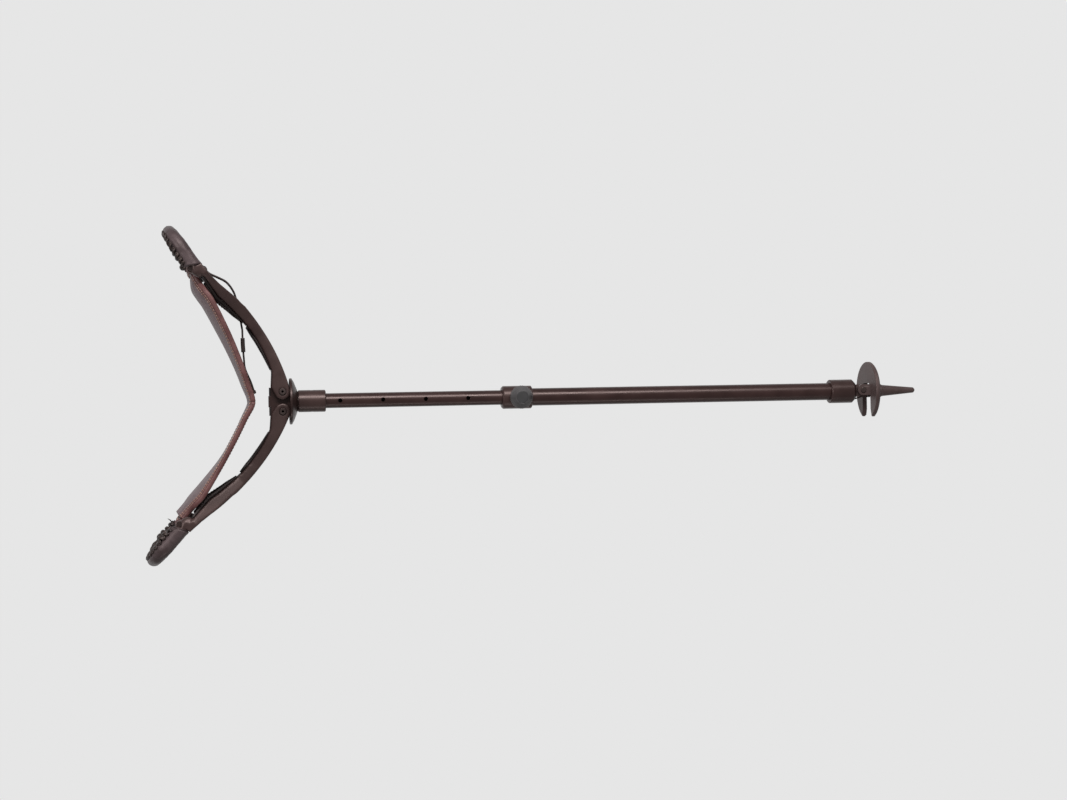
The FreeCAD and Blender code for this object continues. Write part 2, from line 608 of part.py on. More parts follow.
for name, sign in (("a", 1), ("b", -1)):
    pin = double_headed_pin(
        "pivot_pin_" + name, S["pivot_dia"] / 2, S["pivot_head_dia"] / 2,
        S["lug_thick"] / 2 + S["ear_wide"] + S["run_gap"] * 2, S["pivot_head"], S["pivot_eye_dia"] / 2)
    place(pin, S["pivot_half"] * sign, 0, pivot_height, along_front)
    buffer = new_body("fold_buffer_" + name)
    buffer_sketch = new_sketch(buffer, "XZ", "buffer_side_" + name)
    near = (S["tower_half"] + S["fit_gap"]) * sign
    far = S["shoulder_half"] * sign
    outline(buffer_sketch, [
        (near, shoulder_top), (far, shoulder_top), (far, shoulder_top + S["buffer_thick"]),
        (near, shoulder_top + S["buffer_thick"])])
    pad(buffer, buffer_sketch, S["lug_thick"] - S["buffer_thick"])

# Arms, built once in the arm's own frame and placed at each pivot

turn_a = FreeCAD.Rotation(FreeCAD.Vector(0, 1, 0), S["open_a"].value)
turn_b = FreeCAD.Rotation(FreeCAD.Vector(0, 1, 0), -S["open_b"].value).multiply(
    FreeCAD.Rotation(FreeCAD.Vector(0, 0, 1), 180))
arm_sides = {"a": (S["pivot_half"], turn_a), "b": (-S["pivot_half"], turn_b)}


def at_arm(body, side):
    x, rotation = arm_sides[side]
    place(body, x, 0, pivot_height, rotation)


def arm_point(side, x, z):
    # a point of the arm's own frame, in the stick's frame
    pivot_x, rotation = arm_sides[side]
    local = FreeCAD.Vector(as_size(x).value, 0, as_size(z).value)
    return FreeCAD.Vector(pivot_x.value, 0, pivot_height.value) + rotation.multVec(local)


def loop_path(start):
    # centre line of the D-shaped hand loop: a leg, a corner arc, the crowned top and back again
    x, half, top = S["loop_x"].value, loop_half.value, loop_top.value
    crown, corner = S["loop_crown"].value, S["loop_corner"].value
    crown_z = top - crown
    corner_y = half - corner
    corner_z = crown_z + math.sqrt((crown - corner) ** 2 - corner_y ** 2)
    lean = math.atan2(corner_y, corner_z - crown_z)
    middle_turn = (math.pi / 2 + lean) / 2
    meet = FreeCAD.Vector(x, crown * math.sin(lean), crown_z + crown * math.cos(lean))
    bend = FreeCAD.Vector(x, corner_y + corner * math.sin(middle_turn),
                          corner_z + corner * math.cos(middle_turn))
    foot = FreeCAD.Vector(x, half, start)
    knee = FreeCAD.Vector(x, half, corner_z)

    def other(point):
        return FreeCAD.Vector(point.x, -point.y, point.z)

    return Part.Wire([
        Part.LineSegment(foot, knee).toShape(), Part.Arc(knee, bend, meet).toShape(),
        Part.Arc(meet, FreeCAD.Vector(x, 0, top), other(meet)).toShape(),
        Part.Arc(other(meet), other(bend), other(knee)).toShape(),
        Part.LineSegment(other(knee), other(foot)).toShape()])


def swept(path, radius):
    # a round bar along a path that starts upwards
    start = path.Edges[0].valueAt(path.Edges[0].FirstParameter)
    ring = Part.Wire(Part.Circle(start, FreeCAD.Vector(0, 0, 1), radius).toShape())
    pipe = Part.BRepOffsetAPI.MakePipeShell(path)
    pipe.add(ring)
    pipe.build()
    pipe.makeSolid()
    return pipe.shape()


along_y = FreeCAD.Vector(0, 1, 0)
arm_low = -S["boss_radius"] - clear
arm_high = arm_end + clear
arm_wide = S["fork_half"] * 2


def cut_fork(body, name, inset):
    # trims a wide blade to the stem and fork seen from outside, and opens the fork's throat
    trim = new_sketch(body, "YZ", name + "_trim")
    wide = S["fork_half"] + clear
    for sign in (-1, 1):
        outline(trim, [
            ((S["stem_half"] - inset) * sign, arm_low), (wide * sign, arm_low), (wide * sign, arm_high),
            ((S["fork_half"] - inset) * sign, arm_high),
            ((S["fork_half"] - inset) * sign, fork_z,
             ((S["fork_half"] + S["crotch_half"]) / 2 - S["fork_swell"] - inset) * sign,
             (fork_z + S["crotch_z"]) / 2),
            ((S["crotch_half"] - inset) * sign, S["crotch_z"]),
            ((S["stem_half"] - inset) * sign, S["stem_end"])])
    pocket(body, trim, arm_wide)
    throat = new_sketch(body, "YZ", name + "_throat")
    low, high = S["throat_low_half"] + inset, throat_high_half + inset
    outline(throat, [
        (-low, S["throat_low"] + S["throat_round"], 0, S["throat_low"]),
        (low, S["throat_low"] + S["throat_round"]),
        (high, throat_high), (high - S["throat_corner_y"], throat_top),
        (-high + S["throat_corner_y"], throat_top), (-high, throat_high)])
    pocket(body, throat, arm_wide)


def arm_frame(side):
    body = new_body("arm_blade_" + side)
    sketch = new_sketch(body, "XZ", "arm_side_" + side)
    outline(sketch, [
        (-S["boss_radius"], 0, 0, -S["boss_radius"]), (S["boss_radius"], 0),
        (S["heel_out"], S["heel_z"], S["bow_out"], S["bow_z"]), (S["neck_out"], neck_z),
        (S["end_out"], arm_end), (S["end_in"], arm_end),
        (S["end_in"], fork_in_z, S["belly_in"], S["belly_z"]),
        (S["root_in"], S["root_in_z"]), (S["root_step"], S["root_step_z"])])
    pad(body, sketch, arm_wide)
    doc.recompute()
    cut_fork(body, "arm_" + side, as_size(0))
    lug_slot = new_sketch(body, "YZ", "arm_slot_" + side)
    gap = S["lug_thick"] / 2 + S["run_gap"]
    outline(lug_slot, [(-gap, arm_low), (gap, arm_low), (gap, S["slot_depth"]), (-gap, S["slot_depth"])])
    pocket(body, lug_slot, arm_wide)
    cut_across(body, "XZ", "arm_pivot_bore_" + side, 0, 0, S["pivot_dia"] / 2 + S["fit_gap"], S["fork_half"])
    pieces.remove(body)
    # the hand loop's round bar and the eyes of the sling rod grow out of the fork
    solid = body.Shape.copy()
    foot = core_start.value
    core = S["loop_core"].value
    leg = loop_half.value
    solid = solid.fuse(swept(loop_path(foot), core))
    rod_at = FreeCAD.Vector(S["rod_x"].value, 0, rod_z.value)
    for y, eye_y in ((leg, leg - S["eye_wide"].value), (-leg, -leg)):
        solid = solid.fuse(Part.makeCone(
            core / 2, core, core, FreeCAD.Vector(S["loop_x"].value, y, foot - core), FreeCAD.Vector(0, 0, 1)))
        solid = solid.fuse(Part.makeCylinder(
            S["eye_radius"].value, S["eye_wide"].value, rod_at + along_y * eye_y, along_y))
    rod_bore = (S["rod_radius"] + S["fit_gap"]).value
    solid = solid.cut(Part.makeCylinder(rod_bore, leg * 3, rod_at - along_y * leg * 1.5, along_y))
    if side == "a":
        stud_bore = (S["stud_radius"] + S["fit_gap"]).value
        solid = solid.cut(Part.makeCylinder(
            stud_bore, S["bow_out"].value, FreeCAD.Vector(0, 0, stud_z.value), FreeCAD.Vector(1, 0, 0)))
    at_arm(shaped("arm_frame_" + side, solid), side)


def arm_guard(side):
    # leather strips along the inner faces of the stem and of the fork's two branches
    body = new_body("arm_guard_" + side)
    sketch = new_sketch(body, "XZ", "guard_side_" + side)
    thick = S["guard_thick"]
    outline(sketch, [
        (S["root_in"], S["root_in_z"]), (S["root_in"] - thick, S["root_in_z"],
                                         S["belly_in"] - thick, S["belly_z"]),
        (S["end_in"] - thick, fork_in_z), (S["end_in"] - thick, neck_z),
        (S["end_in"], neck_z), (S["end_in"], fork_in_z, S["belly_in"], S["belly_z"])])
    pad(body, sketch, arm_wide)
    doc.recompute()
    cut_fork(body, "guard_" + side, S["guard_inset"])
    ends = new_sketch(body, "YZ", "guard_ends_" + side)
    for low, high in ((arm_low, S["guard_start"]), (S["guard_gap_low"], S["guard_gap_high"])):
        outline(ends, [(-arm_wide, low), (arm_wide, low), (arm_wide, high), (-arm_wide, high)])
    pocket(body, ends, arm_wide)
    at_arm(body, side)


def round_rod(label, side, radius, y_half, x, z, hole=None):
    body = new_body(label)
    sketch = new_sketch(body, "XZ", label + "_end")
    round_hole(sketch, x, z, radius)
    if hole is not None:
        round_hole(sketch, x, z, hole)
    pad(body, sketch, y_half * 2)
    at_arm(body, side)
    return body


def grip(side):
    # leather sleeve sewn round the hand loop, and the thong stitches over its seam
    core_out = S["loop_core"].value + S["fit_gap"].value
    sleeve = core_out + S["leather_thick"].value
    path = loop_path(leather_start.value)
    at_arm(shaped("grip_leather_" + side, swept(path, sleeve).cut(swept(path, core_out))), side)
    seam = loop_path(lace_start.value)
    wide, span = S["lace_wide"].value, S["lace_span"].value
    inside = sleeve + S["fit_gap"].value
    outside = inside + S["lace_thick"].value
    count = int(seam.Length / S["lace_pitch"].value)
    marks = seam.discretize(2 * count + 1)
    stitches = []
    along_z = FreeCAD.Vector(0, 0, 1)
    low_end = along_z * (-wide / 2)
    for before, middle, ahead in zip(marks[0::2], marks[1::2], marks[2::2]):
        forward = (ahead - before).normalize()
        stitch = Part.makeCylinder(outside, wide, low_end, along_z, span)
        stitch = stitch.cut(Part.makeCylinder(inside, wide * 2, low_end * 2, along_z))
        # a sector starts at its own +X, so it is turned until its middle lies on the seam
        stitch.rotate(FreeCAD.Vector(), along_z, 180 - span / 2)
        stitch.Placement = FreeCAD.Placement(middle, FreeCAD.Rotation(
            FreeCAD.Vector(1, 0, 0), FreeCAD.Vector(), forward, "ZXY")).multiply(stitch.Placement)
        stitches.append(stitch)
    at_arm(shaped("grip_lacing_" + side, Part.makeCompound(stitches)), side)


def seat_half(side):
    # one half of the leather sling: arched sections from the fold over the head to the hem,
    # hanging a little below the straight line and lying on the guard from the touching point on
    sign = 1 if side == "a" else -1
    x, rotation = arm_sides[side]
    thick = S["seat_thick"].value
    wide, end_wide = seat_half_wide.value, hem_half.value
    under = S["end_in"].value - S["guard_thick"].value - S["run_gap"].value
    fold = FreeCAD.Vector(0, 0, seat_fold_z.value)
    touch = arm_point(side, under, seat_touch)
    up = FreeCAD.Vector(0, 0, 1)
    along_arm = rotation.multVec(up)
    end_z = (rod_z - S["rod_radius"] - S["hem_thick"] - S["run_gap"] * 2).value
    sag = S["seat_sag_" + side].value
    crowns = {name: S["seat_crown_%s_%s" % (name, side)].value for name in ("near", "far", "touch", "end")}
    stations = [(fold, FreeCAD.Vector(sign, 0, 0), wide, S["seat_crown_fold"].value)]
    for part, crown in ((0.33, crowns["near"]), (0.68, crowns["far"])):
        chord = touch - fold
        slope = chord - up * (4 * sag * (1 - 2 * part))
        foot = fold + chord * part - up * (4 * sag * part * (1 - part))
        stations.append((foot, slope.normalize(), wide, crown))
    reach = end_z - seat_touch.value
    for part, half, crown in (
            (0.0, wide, crowns["touch"]), (0.4, wide * 0.95, crowns["touch"]),
            (0.7, wide * 0.2 + end_wide * 0.8, crowns["touch"] * 0.9), (1.0, end_wide, crowns["end"])):
        stations.append((arm_point(side, under, seat_touch + reach * part), along_arm, half, crown))
    sections = []
    for foot, forward, half, crown in stations:
        lift = forward.cross(along_y) * (-1 if forward.cross(along_y).z < 0 else 1)
        left, right = foot - along_y * half, foot + along_y * half
        sections.append(Part.Wire([
            Part.Arc(left, foot + lift * crown, right).toShape(),
            Part.LineSegment(right, right + lift * thick).toShape(),
            Part.Arc(right + lift * thick, foot + lift * (crown + thick), left + lift * thick).toShape(),
            Part.LineSegment(left + lift * thick, left).toShape()]))
    shaped("seat_leather_" + side, Part.makeLoft(sections, True, False))


def closing_strap():
    # the strap springs off arm A's outer face, dives through the throat and hangs inside as a tail
    half = S["strap_thick"] / 2
    lean = half * 1.12
    foot_in = S["neck_out"] + S["fit_gap"]
    strap = new_body("closing_strap")
    sketch = new_sketch(strap, "XZ", "strap_side")
    outline(sketch, [
        (foot_in, strap_foot), (foot_in + S["strap_thick"], strap_foot),
        (foot_in + S["strap_thick"], strap_rise_z, S["strap_bow_x"] + half, strap_bow_z),
        (S["strap_turn_x"] + half, strap_turn_z + S["edge_small"]),
        (S["strap_pass_x"] + lean, strap_pass_z), (S["strap_pass_x"] - lean, strap_pass_z),
        (S["strap_turn_x"] - half, strap_turn_z - S["edge_small"], S["strap_bow_x"] - half, strap_bow_z),
        (foot_in, strap_rise_z)])
    pad(strap, sketch, S["strap_half"] * 2)
    doc.recompute()
    stud_hole = new_sketch(strap, "YZ", "strap_stud_hole")
    round_hole(stud_hole, 0, stud_z, S["stud_radius"] + S["fit_gap"])
    pocket(strap, stud_hole, arm_wide)
    at_arm(strap, "a")

    tail = new_body("strap_tail")
    sketch = new_sketch(tail, "XZ", "tail_side")
    outline(sketch, [
        (S["strap_pass_x"] + lean, strap_pass_z, S["tail_mid_x"] + lean, S["tail_mid_z"]),
        (S["tail_bend_x"] + lean, S["tail_bend_z"], S["tail_low_x"] + lean, S["tail_low_z"]),
        (S["tail_end_x"] + lean, S["tail_end_z"]),
        (S["tail_end_x"] - lean, S["tail_end_z"], S["tail_low_x"] - lean, S["tail_low_z"]),
        (S["tail_bend_x"] - lean, S["tail_bend_z"], S["tail_mid_x"] - lean, S["tail_mid_z"]),
        (S["strap_pass_x"] - lean, strap_pass_z)])
    pad(tail, sketch, S["strap_half"] * 2)
    at_arm(tail, "a")

    keeper = new_body("strap_keeper")
    sketch = new_sketch(keeper, "XY", "keeper_section")
    for grow in (S["keeper_thick"], as_size(0)):
        side_x = S["strap_thick"] / 2 + S["run_gap"] + grow
        side_y = S["strap_half"] + S["run_gap"] + grow
        outline(sketch, [(-side_x, -side_y), (side_x, -side_y), (side_x, side_y), (-side_x, side_y)])
    pad(keeper, sketch, S["keeper_long"])
    run = math.atan2((S["strap_pass_x"] - S["tail_bend_x"]).value, (strap_pass_z - S["tail_bend_z"]).value)
    keeper.Placement = FreeCAD.Placement(
        arm_point("a", S["tail_mid_x"], S["tail_mid_z"]),
        turn_a.multiply(FreeCAD.Rotation(along_y, math.degrees(run))))

    # dome-headed stud through the strap into the fork's cross member
    stud = new_body("strap_stud")
    sketch = new_sketch(stud, "XY", "stud_profile")
    head = foot_in + S["strap_thick"] + S["fit_gap"]
    inner_end = S["end_out"] - S["stud_deep"]
    outline(sketch, [
        (inner_end, 0), (inner_end, S["stud_radius"]), (head, S["stud_radius"]), (head, S["stud_head"]),
        (head + S["stud_dome"] / 3, S["stud_head"]), (head + S["stud_dome"], 0)])
    spin = stud.newObject("PartDesign::Revolution", "stud_turned")
    spin.Profile = sketch
    spin.ReferenceAxis = (sketch, ["H_Axis"])
    spin.Angle = 360
    stud.Placement = FreeCAD.Placement(arm_point("a", 0, stud_z), turn_a)


for side in ("a", "b"):
    arm_frame(side)
    arm_guard(side)
    grip(side)
    round_rod("sling_rod_" + side, side, S["rod_radius"], loop_half + S["rod_over"], S["rod_x"], rod_z)
    hem_bore = S["rod_radius"] + S["run_gap"] / 2
    round_rod("seat_hem_" + side, side, hem_bore + S["hem_thick"], hem_half, S["rod_x"], rod_z, hem_bore)
    seat_half(side)
closing_strap()

doc.recompute()
for thing in doc.Objects:
    if "Invalid" in thing.State or "Error" in thing.State:
        raise RuntimeError(thing.Name + " is " + str(thing.State))
for piece in pieces:
    if piece.Shape.isNull() or not piece.Shape.isValid():
        raise RuntimeError(piece.Label + " has no valid shape")
os.makedirs("parts", exist_ok=True)
for piece in pieces:
    piece.Shape.exportStep("parts/" + piece.Label + ".step")
    print(piece.Label, len(piece.Shape.Solids), round(piece.Shape.Volume, 1))
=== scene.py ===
import json
import math
import bpy
import bmesh
from mathutils import Matrix, Vector, noise


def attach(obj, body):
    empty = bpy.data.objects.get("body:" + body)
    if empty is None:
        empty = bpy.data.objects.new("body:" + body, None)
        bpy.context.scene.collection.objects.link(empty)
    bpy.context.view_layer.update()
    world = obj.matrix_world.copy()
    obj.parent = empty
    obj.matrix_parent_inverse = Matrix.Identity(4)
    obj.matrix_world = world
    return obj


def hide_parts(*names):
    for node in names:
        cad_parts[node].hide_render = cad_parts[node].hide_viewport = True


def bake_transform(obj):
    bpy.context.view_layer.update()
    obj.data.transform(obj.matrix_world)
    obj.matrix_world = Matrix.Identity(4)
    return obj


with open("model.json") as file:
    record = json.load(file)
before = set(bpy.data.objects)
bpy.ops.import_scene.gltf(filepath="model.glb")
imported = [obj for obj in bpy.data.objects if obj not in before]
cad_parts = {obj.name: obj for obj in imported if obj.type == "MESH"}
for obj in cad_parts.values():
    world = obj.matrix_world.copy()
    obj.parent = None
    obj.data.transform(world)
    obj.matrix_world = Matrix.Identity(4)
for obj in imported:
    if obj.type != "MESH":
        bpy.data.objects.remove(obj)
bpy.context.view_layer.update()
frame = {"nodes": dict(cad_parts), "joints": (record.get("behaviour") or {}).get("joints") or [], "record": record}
nodes = frame["nodes"]
print("frame loaded")

# The row frame is in metres. Sizes of the object's own pieces are named here in millimetres.
mm = 0.001
up = Vector((0, 0, 1))
acrossY = Vector((0, 1, 0))

# Camera fitted to the photograph: level with the head, tilted down, the stick lying across the picture
shot = {"focal": 60.73, "sensor": 36.0, "place": (-3.4, -1944.7, 731.3), "tilt": 10.0, "roll": 1.07}


def placeCamera():
    tilt, roll = math.radians(shot["tilt"]), math.radians(shot["roll"])
    ahead = Vector((0, math.cos(tilt), -math.sin(tilt)))
    pictureUp = Vector((1, 0, 0))
    pictureRight = ahead.cross(pictureUp)
    right = pictureRight * math.cos(roll) - pictureUp * math.sin(roll)
    top = pictureUp * math.cos(roll) + pictureRight * math.sin(roll)
    lens = bpy.data.cameras.new("photoCamera")
    lens.lens = shot["focal"]
    lens.sensor_width = shot["sensor"]
    lens.clip_end = 50
    camera = bpy.data.objects.new("photoCamera", lens)
    turn = Matrix((right, top, -ahead)).transposed().to_4x4()
    camera.matrix_world = Matrix.Translation(Vector(shot["place"]) * mm) @ turn
    bpy.context.scene.collection.objects.link(camera)
    bpy.context.scene.camera = camera


# Studio: pale paper behind, an even surround and soft boxes
studio = {"surround": 0.36, "paper": 0.7913, "backdropSize": 7.0, "backdropDistance": 2.6}


def softBox(name, place, target, width, height, power):
    light = bpy.data.lights.new(name, "AREA")
    light.shape = "RECTANGLE"
    light.size = width
    light.size_y = height
    light.energy = power
    lamp = bpy.data.objects.new(name, light)
    aim = Vector(target) - Vector(place)
    lamp.matrix_world = Matrix.Translation(place) @ aim.to_track_quat("-Z", "Y").to_matrix().to_4x4()
    bpy.context.scene.collection.objects.link(lamp)


def buildStudio():
    scene = bpy.context.scene
    scene.view_settings.view_transform = "Standard"
    world = bpy.data.worlds.new("paleStudio")
    world.use_nodes = True
    surround = world.node_tree.nodes["Background"]
    surround.inputs["Color"].default_value = (studio["surround"],) * 3 + (1,)
    scene.world = world
    half = studio["backdropSize"] / 2
    mesh = bpy.data.meshes.new("backdrop")
    corners = [(-half, 0, -half), (half, 0, -half), (half, 0, half), (-half, 0, half)]
    mesh.from_pydata(corners, [], [(0, 1, 2, 3)])
    backdrop = bpy.data.objects.new("backdrop", mesh)
    backdrop.location = (0, studio["backdropDistance"], 0.4)
    scene.collection.objects.link(backdrop)
    paper = bpy.data.materials.new("backdropPaper")
    paper.use_nodes = True
    shader = paper.node_tree.nodes["Principled BSDF"]
    shader.inputs["Base Color"].default_value = (0, 0, 0, 1)
    shader.inputs["Specular IOR Level"].default_value = 0
    shader.inputs["Emission Color"].default_value = (studio["paper"],) * 3 + (1,)
    shader.inputs["Emission Strength"].default_value = 1
    mesh.materials.append(paper)
    softBox("keyBox", (1.5, -1.5, 0.55), (0, 0, 0.4), 0.32, 1.9, 60)
    softBox("headBox", (0.3, -1.0, 1.9), (0, 0, 0.75), 0.6, 0.6, 12)
    softBox("rimBox", (-1.7, -0.5, 0.4), (0, 0, 0.4), 0.3, 1.6, 5)


placeCamera()
buildStudio()
print("camera and studio")


# Shader effects shared by the materials

def effectGroup(name, inputs, outputs):
    group = bpy.data.node_groups.new(name, "ShaderNodeTree")
    for label, kind, value in inputs:
        socket = group.interface.new_socket(label, in_out="INPUT", socket_type=kind)
        if value is not None:
            socket.default_value = value
    for label, kind in outputs:
        group.interface.new_socket(label, in_out="OUTPUT", socket_type=kind)
    return group, group.nodes.new("NodeGroupInput"), group.nodes.new("NodeGroupOutput")


def textureNode(tree, kind, vector, scale, detail=2.0, **settings):
    node = tree.nodes.new(kind)
    for key, value in settings.items():
        setattr(node, key, value)
    tree.links.new(vector, node.inputs["Vector"])
    if isinstance(scale, (int, float)):
        node.inputs["Scale"].default_value = scale
    else:
        tree.links.new(scale, node.inputs["Scale"])
    if "Detail" in node.inputs:
        node.inputs["Detail"].default_value = detail
    return node


def mathNode(tree, operation, first, second=None):
    node = tree.nodes.new("ShaderNodeMath")
    node.operation = operation
    for socket, value in zip(node.inputs, (first, second)):
        if value is None:
            continue
        if isinstance(value, (int, float)):
            socket.default_value = value
        else:
            tree.links.new(value, socket)
    return node.outputs[0]


def rangeNode(tree, value, low, high, outLow=0.0, outHigh=1.0):
    node = tree.nodes.new("ShaderNodeMapRange")
    tree.links.new(value, node.inputs["Value"])
    node.inputs["From Min"].default_value = low
    node.inputs["From Max"].default_value = high
    node.inputs["To Min"].default_value = outLow
    node.inputs["To Max"].default_value = outHigh
    return node.outputs["Result"]


def makePaintEffect():
    # fine orange peel, dust-like mottle and faint rubs
    group, enter, leave = effectGroup(
        "paintEffect", [("Vector", "NodeSocketVector", None), ("Scale", "NodeSocketFloat", 1.0)],
        [("Tone", "NodeSocketFloat"), ("Height", "NodeSocketFloat"), ("Rub", "NodeSocketFloat")])
    sized = group.nodes.new("ShaderNodeVectorMath")
    sized.operation = "SCALE"
    group.links.new(enter.outputs["Vector"], sized.inputs[0])
    group.links.new(enter.outputs["Scale"], sized.inputs["Scale"])
    place = sized.outputs["Vector"]
    peel = textureNode(group, "ShaderNodeTexNoise", place, 900.0, 3.0)
    cloud = textureNode(group, "ShaderNodeTexNoise", place, 38.0, 5.0)
    stretch = group.nodes.new("ShaderNodeMapping")
    stretch.inputs["Scale"].default_value = (1, 1, 0.12)
    group.links.new(place, stretch.inputs["Vector"])
    scuff = textureNode(group, "ShaderNodeTexNoise", stretch.outputs["Vector"], 420.0, 4.0)
    group.links.new(cloud.outputs["Fac"], leave.inputs["Tone"])
    group.links.new(peel.outputs["Fac"], leave.inputs["Height"])
    group.links.new(rangeNode(group, scuff.outputs["Fac"], 0.62, 0.78), leave.inputs["Rub"])
    return group


def makeLeatherEffect():
    # pebbled grain in cells with creases between, and slow changes of tone
    group, enter, leave = effectGroup(
        "leatherEffect", [("Vector", "NodeSocketVector", None), ("Scale", "NodeSocketFloat", 1.0)],
        [("Tone", "NodeSocketFloat"), ("Height", "NodeSocketFloat"), ("Crease", "NodeSocketFloat")])
    sized = group.nodes.new("ShaderNodeVectorMath")
    sized.operation = "SCALE"
    group.links.new(enter.outputs["Vector"], sized.inputs[0])
    group.links.new(enter.outputs["Scale"], sized.inputs["Scale"])
    place = sized.outputs["Vector"]
    pebble = textureNode(group, "ShaderNodeTexVoronoi", place, 850.0, 0.0, feature="F1")
    wrinkle = textureNode(group, "ShaderNodeTexNoise", place, 260.0, 6.0)
    cloud = textureNode(group, "ShaderNodeTexNoise", place, 45.0, 4.0)
    rounded = rangeNode(group, pebble.outputs["Distance"], 0.0, 0.75, 1.0, 0.0)
    mixed = mathNode(group, "MULTIPLY", wrinkle.outputs["Fac"], 0.7)
    height = mathNode(group, "ADD", mathNode(group, "MULTIPLY", rounded, 0.45), mixed)
    group.links.new(cloud.outputs["Fac"], leave.inputs["Tone"])
    group.links.new(height, leave.inputs["Height"])
    group.links.new(rangeNode(group, wrinkle.outputs["Fac"], 0.30, 0.46, 1.0, 0.0), leave.inputs["Crease"])
    return group


effects = {"paint": makePaintEffect(), "leather": makeLeatherEffect()}


def surface(name, kind, look):
    # one material: two tones mixed by the effect, with a lighter tone on paint's rubs and a darker tone in the
    # valleys of leather's creases, bump and roughness from it too
    material = bpy.data.materials.new(name)
    material.use_nodes = True
    tree = material.node_tree
    shader = tree.nodes["Principled BSDF"]
    coordinate = tree.nodes.new("ShaderNodeTexCoord")
    effect = tree.nodes.new("ShaderNodeGroup")
    effect.node_tree = effects[kind]
    effect.inputs["Scale"].default_value = look.get("scale", 1.0)
    tree.links.new(coordinate.outputs["Object"], effect.inputs["Vector"])
    tones = tree.nodes.new("ShaderNodeMix")
    tones.data_type = "RGBA"
    tones.inputs["A"].default_value = look["dark"] + (1,)
    tones.inputs["B"].default_value = look["light"] + (1,)
    tree.links.new(rangeNode(tree, effect.outputs["Tone"], 0.36, 0.64), tones.inputs["Factor"])
    rubAndCreaseTone = tree.nodes.new("ShaderNodeMix")
    rubAndCreaseTone.data_type = "RGBA"
    rubAndCreaseTone.inputs["B"].default_value = look["rubAndCreaseTone"] + (1,)
    tree.links.new(tones.outputs["Result"], rubAndCreaseTone.inputs["A"])
    # paint takes its rub tone on rubbed streaks; leather takes a darker tone in the low valleys of its creases
    mask = effect.outputs["Rub" if kind == "paint" else "Crease"]
    tree.links.new(mathNode(tree, "MULTIPLY", mask, look.get("rubAndCreaseShare", 0.25)), rubAndCreaseTone.inputs["Factor"])
    tree.links.new(rubAndCreaseTone.outputs["Result"], shader.inputs["Base Color"])
    rough = look["rough"]
    tree.links.new(rangeNode(tree, effect.outputs["Tone"], 0.3, 0.7, rough - 0.06, rough + 0.06),
                   shader.inputs["Roughness"])
    shader.inputs["Metallic"].default_value = look.get("metal", 0.0)
    shader.inputs["Specular IOR Level"].default_value = look.get("specular", 0.5)
    shader.inputs["Specular Tint"].default_value = look.get("glint", (1.0, 1.0, 1.0)) + (1,)
    shader.inputs["Sheen Weight"].default_value = look.get("sheen", 0.0)
    bump = tree.nodes.new("ShaderNodeBump")
    bump.inputs["Strength"].default_value = look.get("bump", 0.3)
    bump.inputs["Distance"].default_value = look.get("depth", 0.0002)
    tree.links.new(effect.outputs["Height"], bump.inputs["Height"])
    if look.get("softEdge"):
        # rounds the light on crisp machined edges by this radius
        rounding = tree.nodes.new("ShaderNodeBevel")
        rounding.inputs["Radius"].default_value = look["softEdge"]
        tree.links.new(rounding.outputs["Normal"], bump.inputs["Normal"])
    tree.links.new(bump.outputs["Normal"], shader.inputs["Normal"])
    return material


paintLook = {"rough": 0.34, "specular": 0.42, "glint": (1.0, 0.78, 0.74), "bump": 0.12, "depth": 0.00006,
             "softEdge": 0.0004, "rubAndCreaseShare": 0.12}
leatherLook = {"rough": 0.52, "specular": 0.35, "glint": (1.0, 0.82, 0.80), "bump": 0.45, "depth": 0.0003,
               "rubAndCreaseShare": 0.35}


